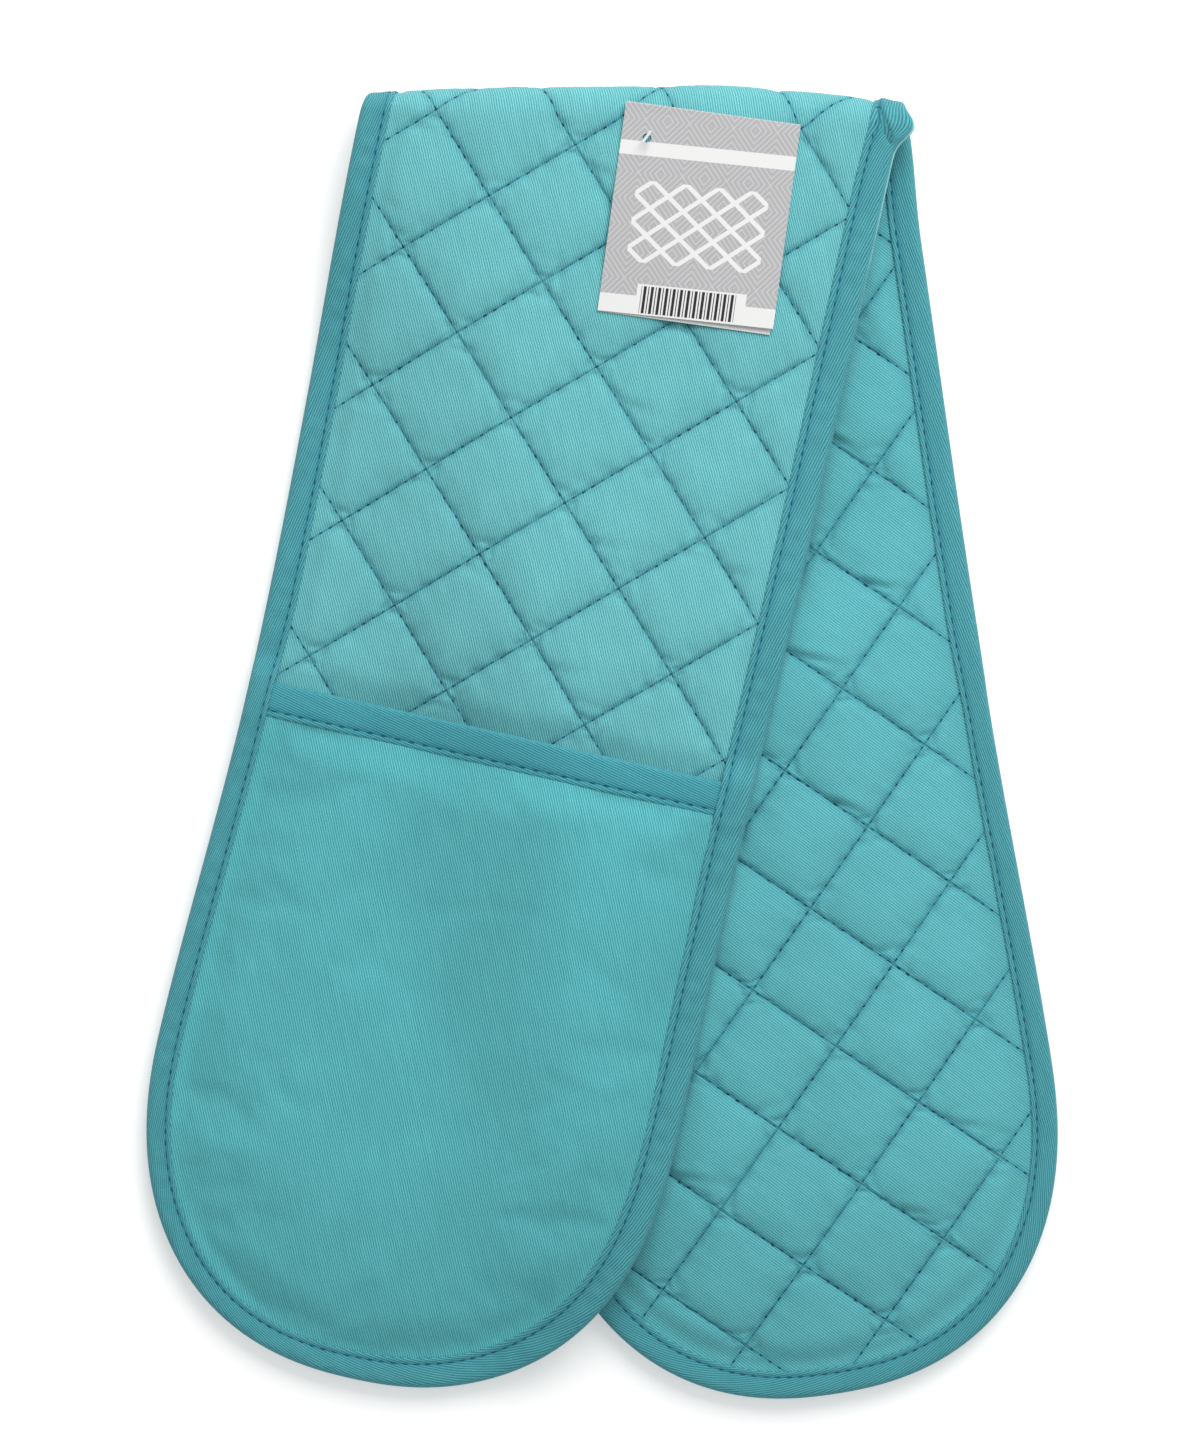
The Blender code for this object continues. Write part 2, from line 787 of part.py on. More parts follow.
def main():
    for thing in list(bpy.data.objects):
        bpy.data.objects.remove(thing)
    outer = outline(0.0)
    inner = outline(BORDER)
    plan = flat_plan(inner)
    shift = centring_shift(plan, outer)
    half("back", plan, -HALF_LENGTH, BODY_LINES[0], inner, outer, shift)
    for number in range(1, len(BODY_LINES)):
        fold_band(number, plan, inner, outer, shift)
    half("front", plan, BODY_LINES[-1], HALF_LENGTH, inner, outer, shift)
    plan.free()
    tag(shift)
    set_origin(fold_axis(BODY_LINES[-1], shift), "front", "tag_pin")


main()
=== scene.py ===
"""Looks of the double oven glove: quilted cloth, tapes, stitches, pockets and swing tag."""

import functools
import math

import bmesh
import bpy
import numpy as np
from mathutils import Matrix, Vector


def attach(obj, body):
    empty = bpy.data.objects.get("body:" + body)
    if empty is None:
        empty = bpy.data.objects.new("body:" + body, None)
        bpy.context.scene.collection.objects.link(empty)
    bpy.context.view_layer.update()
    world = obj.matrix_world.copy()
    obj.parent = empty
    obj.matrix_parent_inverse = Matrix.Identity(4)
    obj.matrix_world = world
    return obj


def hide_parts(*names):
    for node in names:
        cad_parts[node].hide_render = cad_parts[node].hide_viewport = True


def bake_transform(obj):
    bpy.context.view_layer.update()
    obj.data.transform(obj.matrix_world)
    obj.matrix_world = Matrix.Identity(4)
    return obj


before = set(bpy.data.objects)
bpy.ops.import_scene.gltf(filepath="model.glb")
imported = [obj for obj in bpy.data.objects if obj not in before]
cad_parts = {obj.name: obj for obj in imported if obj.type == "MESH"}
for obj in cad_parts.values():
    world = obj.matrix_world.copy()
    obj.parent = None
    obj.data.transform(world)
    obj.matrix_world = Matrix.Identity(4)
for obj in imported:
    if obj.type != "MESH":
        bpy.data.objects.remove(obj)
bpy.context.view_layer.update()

# Outline of the strap, as in the solids
HALF_LENGTH = 0.4379
FOLD_WIDTH = 0.1752
WAIST_WIDTH = 0.1710
LOBE_WIDTH = 0.1756
LOBE_LENGTH = 0.1000
LOBE_EXPONENT = 2.3
SLANT = math.radians(10.7)

# Quilting
DIAMOND_HALF_LENGTH = 0.02314
DIAMOND_HALF_WIDTH = 0.0236
LATTICE_TURN = math.radians(1.56)
LATTICE_ALONG = 0.04705
LATTICE_ACROSS = 0.00722
LATTICE_ROWS = math.ceil((HALF_LENGTH + LOBE_WIDTH) / (2 * DIAMOND_HALF_LENGTH))
CROWN = 0.0022
CROWN_EXPONENT = 0.6
CROWN_RUN = 0.007
CROWN_RISE = 0.8
STEPS = 24
CUT_SNAP = 1e-7
CROWDING = 0.62
LIBRARY = 5
PUCKER_SHARE = 0.42
FLATNESS = 0.45
CROWN_LIMIT = 0.00235
CROWN_SOFTNESS = 0.00010
MOUTH_DIP = 0.6
MOUTH_DIP_RUN = 0.010
REVERSE_SWELL = 0.45
SAG = 0.00025
SAG_WAVES = (0.02, 0.06)
SAG_RUN = 0.01
RIPPLE_COUNT = 14
RIPPLE_SPREAD = 5

# Cloth run that blows the diamonds up
SWELL_SEED = 7
PRESSURE = 110.0
SLACK = 0.014
HIGHEST_SWELL = 0.0027
START_SWELL = 0.0004
BUMP = 0.00004
BUMP_WAVES = (0.006, 0.02)
BUMP_COUNT = 60
BENDING = 0.3
CLOTH_FRAMES = 20

# Puckers: share of a diamond's side where one starts, degrees, lengths, sags and depths
PUCKER_SEED = 20
PUCKER_STARTS = (0.25, 0.55)
PUCKER_LEANS = (3, 14)
PUCKER_LENGTHS = (0.014, 0.024)
PUCKER_SAGS = (-0.002, 0.004)
PUCKER_DEPTHS = (0.0007, 0.0013)
PUCKER_REACH = 0.02
PUCKER_START_RUN = 0.0015
PUCKER_FADE = 0.7
VALLEY_RUN = 0.0011
LIP = 0.6
LIP_FROM_VALLEY = 0.0023
LIP_RUN = 0.0016

# Roll of the strap at the fold
ROLL_FILL = 0.0014
ROLL_SWELL = 0.4
ROLL_SWELL_START = 0.6
ROLL_FILL_RUN = 0.0035
ROLL_END = 1.6
ROLL_RISE = 0.0008
ROLL_RISE_START = 0.0035
ROLL_BOW = 0.0023
ROLL_BOW_MIDDLE = 0.026
ROLL_BOW_RUN = 0.033
LEFT_SLUMP = 0.0022
LEFT_SLUMP_FROM = 0.030
LEFT_SLUMP_RUN = 0.050
RIGHT_SLUMP = 0.0010
RIGHT_SLUMP_FROM = 0.070
RIGHT_SLUMP_RUN = 0.025

# Layers and tapes
COVER = 0.0004
CLEARANCE = 0.00025
EDGE_HALF = 0.00165
LINING = 0.0004
POCKET_WADDING = 0.0006
POCKET_PUFF = 0.0024
POCKET_PUFF_RUN = 0.012
POCKET_BASE = EDGE_HALF + CLEARANCE
POCKET_STACK = LINING + CLEARANCE + POCKET_WADDING + CLEARANCE + COVER
BINDING_WIDTH = 0.0100
BINDING_WALL = 0.0008
ROLLED_WALL = 0.6
HEM_WIDTH = 0.0115
HEM_WALL = 0.0006
BORDER = 0.0105
SWELL_START = 0.0008
RIM = 0.0013

# Pockets
MOUTH = HALF_LENGTH - 0.2199
HEM_LINE = MOUTH + 0.012
LOBE_START = HALF_LENGTH - LOBE_LENGTH
ARCH = 0.0085
ARCH_RUN = 0.055
MOUTH_LIFT = 0.00085
MOUTH_RUN = 0.025
PANEL_STEP = 0.002

# Fold and lie of the two halves
FOLD_RADIUS = 0.007
QUARTER = FOLD_RADIUS * math.pi / 2
CENTRING = 0.20537937
TABLE_GAP = 0.00035
FLOOR_GAP = 0.0001
STRAP_REST = EDGE_HALF + CROWN + TABLE_GAP
POCKET_REST = POCKET_BASE + POCKET_STACK + POCKET_PUFF
FOLD_CENTRE = STRAP_REST + FOLD_RADIUS
FRONT_TOP = FOLD_CENTRE + FOLD_RADIUS
BACK_RISE_RUN = 0.060
BACK_RISE_LEAD = 0.015
FRONT_RISE = 0.0046
FRONT_RISE_START = 0.080
FRONT_RISE_RUN = 0.100
DRAPE_INSIDE = 0.035
DRAPE_RUN = 0.070
DRAPE_FROM_FOLD = 0.090
FRONT_BOW = 0.0023
FRONT_BOW_RUN = 0.360
BACK_LEAN = 0.0015
BACK_LEAN_RUN = 0.035

# Stretches of the fold: name, first and last line, and the two bodies that meet there
FAR = 1.0
STRETCHES = (
    ("back", -FAR, -QUARTER / 2, "back_half", "fold_band_1"),
    ("fold_low", -QUARTER / 2, 0.0, "fold_band_1", "fold_band_2"),
    ("fold_high", 0.0, QUARTER / 2, "fold_band_2", "fold_band_3"),
    ("front", QUARTER / 2, FAR, "fold_band_3", "front_half"),
)
STOOD_FOR = {
    "back": ("back",),
    "fold_low": ("fold_1",),
    "fold_high": ("fold_2",),
    "front": ("fold_3", "front"),
}


def smooth(value):
    """A soft step from 0 to 1 as the value goes from 0 to 1."""
    share = np.clip(value, 0, 1)
    return share * share * (3 - 2 * share)


def mix(first, last, share):
    """A value between two others."""
    return first + (last - first) * share


def hill(value, middle, run):
    """A soft hill, 1 in its middle."""
    return np.exp(-(((value - middle) / run) ** 2))


def to_fold(along, across):
    """From the strap's axes to (cross, normal), along and off the fold line."""
    return (
        across * math.cos(SLANT) - along * math.sin(SLANT),
        across * math.sin(SLANT) + along * math.cos(SLANT),
    )


def to_strap(cross, normal):
    """From the fold line's axes to (along, across) on the strap."""
    return (
        normal * math.cos(SLANT) - cross * math.sin(SLANT),
        cross * math.cos(SLANT) + normal * math.sin(SLANT),
    )


def half_width(along):
    """Half the strap's width, without the rounding of its ends."""
    run = np.abs(along)
    near = mix(FOLD_WIDTH, WAIST_WIDTH, smooth(run / MOUTH))
    far = mix(WAIST_WIDTH, LOBE_WIDTH, smooth((run - MOUTH) / (LOBE_START - MOUTH)))
    return np.where(run < MOUTH, near, far) / 2


def edge_distance(along, across, inset):
    """How far in from the edge, less the inset, a point lies."""
    reach = half_width(along) - inset
    end = np.maximum(0, np.abs(along) - LOBE_START) / (LOBE_LENGTH - inset)
    ratio = (end**LOBE_EXPONENT + np.abs(across / reach) ** LOBE_EXPONENT) ** (1 / LOBE_EXPONENT)
    return reach * (1 - ratio)


def swell_distance(along, across):
    """How far in from the line where cloth starts to swell a point lies."""
    return np.maximum(0, edge_distance(along, across, BORDER) - SWELL_START)


def lattice_point(first, second):
    """Place on the strap of a point of the lattice of diamonds."""
    rows = (first + second) * DIAMOND_HALF_LENGTH
    columns = (first - second) * DIAMOND_HALF_WIDTH
    return (
        LATTICE_ALONG + rows * math.cos(LATTICE_TURN) + columns * math.sin(LATTICE_TURN),
        LATTICE_ACROSS - rows * math.sin(LATTICE_TURN) + columns * math.cos(LATTICE_TURN),
    )


def arch(along, across):
    """How high a pocket stands off the strap for a hand."""
    return ARCH * np.sin(np.pi / 2 * np.clip(swell_distance(along, across) / ARCH_RUN, 0, 1))


def mouth_lift(along):
    """How far a pocket stands open beside its mouth."""
    return MOUTH_LIFT * smooth(1 - (np.abs(along) - HEM_LINE) / MOUTH_RUN)


def pocket_base(along, across):
    """Height of the inside of a pocket's lining."""
    return POCKET_BASE + mouth_lift(along) + arch(along, across)


def panel_outside(along, across):
    """Height of the outside of a pocket's panel."""
    inside = np.minimum(swell_distance(along, across), np.abs(along) - HEM_LINE)
    puff = POCKET_PUFF * smooth(inside / POCKET_PUFF_RUN)
    return pocket_base(along, across) + POCKET_STACK + puff


def sideways(normal):
    """How far the lying halves stray along the fold line."""
    run = np.maximum(0, np.abs(normal) - QUARTER)
    bow = FRONT_BOW * np.sin(np.pi * np.clip(run / FRONT_BOW_RUN, 0, 1)) ** 2
    return np.where(normal < 0, -BACK_LEAN * smooth(run / BACK_LEAN_RUN), bow)


def back_height(cross, normal):
    """Height of the middle of the strap in the half that lies below."""
    along, across = to_strap(cross, normal)
    start = MOUTH - BACK_RISE_LEAD - BACK_RISE_RUN
    rise = smooth((np.abs(along) - start) / BACK_RISE_RUN)
    return STRAP_REST + (POCKET_REST - STRAP_REST + arch(along, across)) * rise


def front_height(cross, normal):
    """Height of the middle of the strap in the half that lies on top."""
    run = normal - QUARTER
    top = FRONT_TOP + FRONT_RISE * smooth((run - FRONT_RISE_START) / FRONT_RISE_RUN)
    over_back = cross + sideways(normal) - sideways(-normal)
    beyond = -to_strap(over_back, -normal)[1] - LOBE_WIDTH / 2
    drop = smooth((beyond + DRAPE_INSIDE) / DRAPE_RUN) * smooth(run / DRAPE_FROM_FOLD)
    return mix(top, STRAP_REST, drop)


def roll_bow(cross):
    """How far the roll at the fold bows out in its middle and slumps at its ends."""
    bow = ROLL_BOW * hill(cross, ROLL_BOW_MIDDLE, ROLL_BOW_RUN)
    left = LEFT_SLUMP * smooth((-cross - LEFT_SLUMP_FROM) / LEFT_SLUMP_RUN)
    right = RIGHT_SLUMP * smooth((cross - RIGHT_SLUMP_FROM) / RIGHT_SLUMP_RUN)
    return bow - left - right


def place(cross, normal, height):
    """Points in space of points of the folded strap."""
    cross, normal, height = np.broadcast_arrays(cross, normal, height)
    turn = np.clip(normal, -QUARTER, QUARTER) / FOLD_RADIUS
    reach = FOLD_RADIUS + height
    out = CENTRING + (reach + roll_bow(cross)) * np.cos(turn)
    rolled = np.stack([cross, out, FOLD_CENTRE + reach * np.sin(turn)], -1)
    on_top, beneath = front_height(cross, normal) + height, back_height(cross, normal) - height
    level = np.where(normal > 0, on_top, beneath)
    lying = np.stack([cross + sideways(normal), CENTRING + QUARTER - np.abs(normal), level], -1)
    points = np.where((np.abs(normal) <= QUARTER)[..., None], rolled, lying)
    points[..., 2] = np.maximum(points[..., 2], FLOOR_GAP)
    return points


def place_strap(along, across, height):
    """Points in space of points given in the strap's own axes."""
    return place(*to_fold(along, across), height)


# Materials
def rgb(red, green, blue):
    """A colour written as 0 to 255, in the shader's linear values."""
    shares = np.array([red, green, blue]) / 255
    linear = np.where(shares <= 0.04045, shares / 12.92, ((shares + 0.055) / 1.055) ** 2.4)
    return (*linear.tolist(), 1.0)


# Lengths in the materials' functions are in millimetres
MM = 1000
TWILL_PITCH = 0.78
YARN_PITCH = 0.55
RIB_SHARE, YARN_SHARE, STREAK_SHARE, GRAIN_SHARE, TWILL_BASE = 0.66, 0.12, 0.22, 0.50, 0.11
# Unevenness of twill: scales along and across its axes, and detail
WOBBLES, STREAKS = (0.12, 0.12, 2.0), (0.55, 0.07, 3.0)
GRAIN, PATCHES = (2.6, 1.5, 2.0), (0.035, 0.035, 3.0)
WOBBLE, YARN_SKEW = 0.6, 0.6
TWILL_RELIEF = 0.00012
TWILL_BUMP = 0.7
TWILL_ROUGHNESS = (-0.12, 0.92)
TWILL_SHEEN = 0.12
CREST_SLOPE, CREST_START, CREST_LIGHT = 0.1, -0.5, 0.05
# Painted shade: a bluish darkening of the cloth beside each row of stitches, where the pillows
# slope down into the channel, and a thin dark line of painted shade in the groove itself
PAINTED_RECESS_SHADE = rgb(44, 140, 166)
PAINTED_GROOVE_SHADE = rgb(18, 84, 100)
LIP_STEEPNESS = 2.6
# Painted highlight: a pale line on the upper side of a tape's rolled outer edge, broken up by the
# twill's streaks, only for a run of the front binding from the fold
EDGE_HIGHLIGHT_REACH = 0.9
EDGE_HIGHLIGHT_MIDDLE = 1.1
PAINTED_EDGE_HIGHLIGHT = rgb(190, 250, 252)
EDGE_HIGHLIGHT_RUN = 80.0
THREAD_TWIST = 0.45
THREAD_SKEW = 0.35
THREAD_ROUGHNESS = (-0.15, 0.75)
SOFT_SHEEN = 0.1
THREAD_RELIEF = 0.00008
WEAVE_PITCH = 0.6
WEAVE_SHARE, WEAVE_GRAIN_SHARE = 0.35, 0.3
WEAVE_GRAIN = (0.2, 0.2, 3.0)
WEAVE_RELIEF = 0.0001

# How far in from a tape's edge its row of stitches lies, and how much cloth the edge takes up
STITCH_INSET = 0.00805
HEM_STITCH_LINE = 0.0095
EDGE_EXTRA = 0.0015


class Recipe:
    """A material under construction. Its methods add a node and give the output."""

    def __init__(self, name):
        self.material = bpy.data.materials.new(name)
        self.material.use_nodes = True
        self.tree = self.material.node_tree
        self.shader = self.tree.nodes["Principled BSDF"]

    def put(self, socket, value):
        """Links an output to a socket, or sets the socket's value."""
        if isinstance(value, bpy.types.NodeSocket):
            self.tree.links.new(value, socket)
        elif value is not None:
            socket.default_value = value

    def math(self, operation, first, second=None, third=None):
        """One step of arithmetic. fuse is first x second + third."""
        node = self.tree.nodes.new("ShaderNodeMath")
        node.operation = operation
        for socket, value in zip(node.inputs, (first, second, third)):
            self.put(socket, value)
        return node.outputs[0]

    times = functools.partialmethod(math, "MULTIPLY")
    plus = functools.partialmethod(math, "ADD")
    minus = functools.partialmethod(math, "SUBTRACT")
    fuse = functools.partialmethod(math, "MULTIPLY_ADD")
    most = functools.partialmethod(math, "MAXIMUM")
    least = functools.partialmethod(math, "MINIMUM")

    def clamped(self, value):
        """The value, held between 0 and 1."""
        return self.least(self.most(value, 0.0), 1.0)

    def near(self, distance, reach):
        """1 where the distance is 0, and 0 from the reach on."""
        return self.most(self.minus(1.0, self.times(distance, 1 / reach)), 0.0)

    def uv(self):
        """Place on the cloth, in millimetres, as two numbers."""
        node = self.tree.nodes.new("ShaderNodeUVMap")
        node.uv_map = "cloth"
        split = self.tree.nodes.new("ShaderNodeSeparateXYZ")
        self.put(split.inputs[0], node.outputs[0])
        return split.outputs[0], split.outputs[1]

    def turned(self, first, second, degrees):
        """The same place in axes turned by an angle."""
        cosine = math.cos(math.radians(degrees))
        sine = math.sin(math.radians(degrees))
        ahead = self.plus(self.times(first, cosine), self.times(second, sine))
        beside = self.minus(self.times(second, cosine), self.times(first, sine))
        return ahead, beside

    def noise(self, first, second, scale_first, scale_second, detail=2.0):
        """Soft random unevenness, with its own scale for each axis."""
        join = self.tree.nodes.new("ShaderNodeCombineXYZ")
        self.put(join.inputs[0], self.times(first, scale_first))
        self.put(join.inputs[1], self.times(second, scale_second))
        node = self.tree.nodes.new("ShaderNodeTexNoise")
        node.inputs["Scale"].default_value = 1.0
        node.inputs["Detail"].default_value = detail
        self.put(node.inputs["Vector"], join.outputs[0])
        return node.outputs[0]

    def wave(self, value, length):
        """A soft ripple from 0 to 1."""
        turn = self.times(value, 2 * math.pi / length)
        return self.fuse(self.math("SINE", turn), 0.5, 0.5)

    def ramp(self, value, stops):
        """A colour for each value, from pairs of value and colour."""
        node = self.tree.nodes.new("ShaderNodeValToRGB")
        elements = node.color_ramp.elements
        for number, (place_at, colour) in enumerate(stops):
            element = elements[number] if number < 2 else elements.new(place_at)
            element.position = place_at
            element.color = colour
        self.put(node.inputs[0], value)
        return node.outputs[0]

    def blend(self, share, first, second, kind="MIX"):
        """Two colours mixed by a share."""
        node = self.tree.nodes.new("ShaderNodeMix")
        node.data_type = "RGBA"
        node.blend_type = kind
        self.put(node.inputs[0], share)
        self.put(node.inputs[6], first)
        self.put(node.inputs[7], second)
        return node.outputs[2]

    def shaded(self, colour, shade):
        """The colour made darker or lighter by a factor."""
        grey = self.tree.nodes.new("ShaderNodeCombineColor")
        for socket in grey.inputs:
            self.put(socket, shade)
        return self.blend(1.0, colour, grey.outputs[0], "MULTIPLY")

    def bump(self, height, distance, strength=1.0):
        """Fine relief of the surface, finer than its mesh."""
        node = self.tree.nodes.new("ShaderNodeBump")
        node.inputs["Strength"].default_value = strength
        node.inputs["Distance"].default_value = distance
        self.put(node.inputs["Height"], height)
        self.put(self.shader.inputs["Normal"], node.outputs[0])

    def finish(self, colour, roughness, sheen=0.0):
        """Sets the surface's last values and gives its material."""
        self.put(self.shader.inputs["Base Color"], colour)
        self.put(self.shader.inputs["Roughness"], roughness)
        self.shader.inputs["Sheen Weight"].default_value = sheen
        self.shader.inputs["Sheen Roughness"].default_value = 0.5
        self.shader.inputs["Specular IOR Level"].default_value = 0.25
        return self.material


def lattice_seam(recipe, ahead, beside):
    """Distance in millimetres from the nearest row of quilting."""
    over_along = recipe.minus(ahead, LATTICE_ALONG * MM)
    over_across = recipe.minus(beside, LATTICE_ACROSS * MM)
    rows, columns = recipe.turned(over_along, over_across, -math.degrees(LATTICE_TURN))
    rows = recipe.times(rows, 1 / (2 * MM) / DIAMOND_HALF_LENGTH)
    columns = recipe.times(columns, 1 / (2 * MM) / DIAMOND_HALF_WIDTH)
    first = recipe.math("PINGPONG", recipe.plus(rows, columns), 0.5)
    second = recipe.math("PINGPONG", recipe.minus(rows, columns), 0.5)
    spacing = 2 * MM / math.hypot(1 / DIAMOND_HALF_LENGTH, 1 / DIAMOND_HALF_WIDTH)
    return recipe.times(recipe.least(first, second), spacing)


def tape_seam(inset):
    """Distance in millimetres from a tape's row of stitches, which lies this far in.
    It grows faster on the lip, the narrow strip beyond the row."""

    def distance(recipe, _, beside):
        """The distance, from the place across the tape."""
        over = recipe.minus(recipe.math("ABSOLUTE", beside), (inset + EDGE_EXTRA) * MM)
        return recipe.most(recipe.times(over, LIP_STEEPNESS), recipe.times(over, -1.0))

    return distance


def twill(
    name,
    dark,
    light,
    degrees,
    seam=None,
    # Reach and share of the painted shade beside a seam, and of the painted dark line of shade in
    # its groove
    recess_shade=(2.4, 0.30),
    line=(0.45, 0.45),
    edge=0.0,
    mottling=0.08,
):
    """Cotton twill: even slanting ribs, with painted shade beside and in its seams, and a painted
    highlight along a tape's outer edge near the fold.
    recess_shade and line are the reach and the share of the painted shade beside a seam and of the
    painted dark line of shade in its groove; edge is the strength of the painted highlight."""
    recipe = Recipe(name)
    ahead, beside = recipe.uv()
    wobble = recipe.noise(ahead, beside, *WOBBLES)
    rib, run = recipe.turned(ahead, beside, degrees + 90)
    rib = recipe.fuse(wobble, WOBBLE, rib)
    ribs = recipe.wave(rib, TWILL_PITCH)
    yarns = recipe.wave(recipe.fuse(rib, YARN_SKEW, run), YARN_PITCH)
    streaks = recipe.noise(rib, run, *STREAKS)
    grain = recipe.noise(rib, run, *GRAIN)
    patches = recipe.noise(ahead, beside, *PATCHES)
    value = recipe.fuse(ribs, RIB_SHARE, recipe.times(yarns, YARN_SHARE))
    value = recipe.fuse(recipe.minus(streaks, 0.5), STREAK_SHARE, value)
    value = recipe.fuse(recipe.minus(grain, 0.5), GRAIN_SHARE, value)
    value = recipe.plus(value, TWILL_BASE)
    colour = recipe.ramp(value, ((0.0, dark), (1.0, light)))
    shade = recipe.fuse(recipe.minus(patches, 0.5), 2 * mottling, 1.0)
    # Painted shade beside the seams: a bluish tint over a few millimetres, then a thin dark line of
    # shade in the groove
    if seam:
        distance = seam(recipe, ahead, beside)
        for (reach, share), tint in ((recess_shade, PAINTED_RECESS_SHADE), (line, PAINTED_GROOVE_SHADE)):
            near = recipe.times(recipe.near(distance, reach), share)
            colour = recipe.blend(near, colour, tint)
        crest = recipe.clamped(recipe.fuse(distance, CREST_SLOPE, CREST_START))
        shade = recipe.fuse(crest, CREST_LIGHT, shade)
    # Painted highlight along the top of the tape's outer edge, broken up by the streaks and fading
    # out over a run from the fold
    if edge:
        off = recipe.math("ABSOLUTE", recipe.minus(beside, EDGE_HIGHLIGHT_MIDDLE))
        painted_highlight = recipe.times(recipe.near(off, EDGE_HIGHLIGHT_REACH), recipe.times(streaks, 2 * edge))
        painted_highlight = recipe.times(painted_highlight, recipe.near(ahead, EDGE_HIGHLIGHT_RUN))
        colour = recipe.blend(painted_highlight, colour, PAINTED_EDGE_HIGHLIGHT)
    colour = recipe.shaded(colour, shade)
    recipe.bump(value, TWILL_RELIEF, TWILL_BUMP)
    return recipe.finish(colour, recipe.fuse(ribs, *TWILL_ROUGHNESS), TWILL_SHEEN)


QUILTED = {"seam": lattice_seam}
# Reach and share of the painted shade and of the painted dark groove line beside the tapes' rows of
# stitches
SEWN_TAPE = {"recess_shade": (2.0, 0.40), "line": (0.45, 0.5), "mottling": 0.06}
FACE_TWILL = twill("face_twill", rgb(53, 144, 156), rgb(144, 228, 229), 26, **QUILTED)
REVERSE_TWILL = twill("reverse_twill", rgb(55, 147, 160), rgb(125, 216, 220), -44, **QUILTED)
POCKET_TWILL = twill("pocket_twill", rgb(45, 143, 156), rgb(121, 220, 223), 26, mottling=0.12)
TAPE_SEAM, HEM_SEAM = tape_seam(STITCH_INSET), tape_seam(HEM_STITCH_LINE)
# edge turns on the painted highlight along the tape's outer edge
TAPE_TWILL = twill(
    "tape_twill", rgb(25, 111, 127), rgb(107, 196, 203), 13, TAPE_SEAM, edge=1.0, **SEWN_TAPE
)
HEM_TWILL = twill("hem_twill", rgb(19, 112, 130), rgb(100, 198, 208), 13, HEM_SEAM, **SEWN_TAPE)


def thread(name, dark, light):
    """Twisted sewing thread."""
    recipe = Recipe(name)
    ahead, around = recipe.uv()
    twist = recipe.wave(recipe.fuse(around, THREAD_SKEW, ahead), THREAD_TWIST)
    colour = recipe.ramp(twist, ((0.0, dark), (1.0, light)))
    recipe.bump(twist, THREAD_RELIEF)
    return recipe.finish(colour, recipe.fuse(twist, *THREAD_ROUGHNESS), SOFT_SHEEN)


QUILTING_THREAD = thread("quilting_thread", rgb(6, 42, 58), rgb(22, 78, 98))
TAPE_THREAD = thread("tape_thread", rgb(14, 70, 92), rgb(40, 110, 130))


def plain_weave(name, dark, light):
    """Plain weave of the linings."""
    recipe = Recipe(name)
    ahead, beside = recipe.uv()
    warp = recipe.wave(ahead, WEAVE_PITCH)
    weft = recipe.wave(beside, WEAVE_PITCH)
    value = recipe.fuse(recipe.minus(warp, weft), WEAVE_SHARE, 0.5)
    value = recipe.fuse(recipe.noise(ahead, beside, *WEAVE_GRAIN), WEAVE_GRAIN_SHARE, value)
    recipe.bump(value, WEAVE_RELIEF)
    return recipe.finish(recipe.ramp(value, ((0.2, dark), (1.0, light))), value, SOFT_SHEEN)


LINING_COTTON = plain_weave("lining_cotton", rgb(176, 170, 156), rgb(226, 221, 208))


# Meshes
def linked(name, data):
    """A new object in the scene."""
    thing = bpy.data.objects.new(name, data)
    bpy.context.scene.collection.objects.link(thing)
    return thing


def piece(name, points, faces, material, cloth, rim=()):
    """A mesh object with its cloth coordinates in millimetres, and a sharp rim if it has one."""
    data = bpy.data.meshes.new(name)
    data.from_pydata(np.asarray(points).tolist(), [], faces)
    layer = data.uv_layers.new(name="cloth")
    corners = np.zeros(len(data.loops), np.int64)
    data.loops.foreach_get("vertex_index", corners)
    layer.data.foreach_set("uv", (np.asarray(cloth)[corners] * MM).astype(np.float32).ravel())
    data.materials.append(material)
    data.shade_smooth()
    if len(rim):
        sharpen(data, np.asarray(rim))
    data.update()
    thing = linked(name, data)
    return thing


def squares(order):
    """The squares of a grid of point numbers, each as its four corners."""
    return np.stack([order[:-1, :-1], order[1:, :-1], order[1:, 1:], order[:-1, 1:]], -1)


def squares_inside(along, across):
    """The squares of a grid that lie within the strap: the points they use, and their faces."""
    corners = squares(np.arange(along.size).reshape(along.shape))
    inside = edge_distance(along, across, 0.0).ravel() > RIM
    used, faces = np.unique(corners[inside[corners].all(-1)], return_inverse=True)
    return used, faces.reshape(-1, 4)


def sharpen(data, rim):
    """Marks the edges between these pairs of points sharp."""
    count = len(data.vertices)
    ends = np.zeros(len(data.edges) * 2, np.int32)
    data.edges.foreach_get("vertices", ends)
    names = np.sort(ends.reshape(-1, 2), axis=1) @ (count, 1)
    wanted = np.sort(rim, axis=1) @ (count, 1)
    marks = data.attributes.new("sharp_edge", "BOOLEAN", "EDGE")
    marks.data.foreach_set("value", np.isin(names, wanted))


def bend(thing):
    """Bakes the piece's placement into its mesh."""
    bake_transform(thing)


# Quilted cloth
def positions(low, high):
    """Positions across whole diamonds, closer together beside the stitch lines."""
    steps = np.arange(low * STEPS, high * STEPS + 1) / STEPS
    return steps - CROWDING * np.sin(2 * np.pi * steps) / (2 * np.pi)


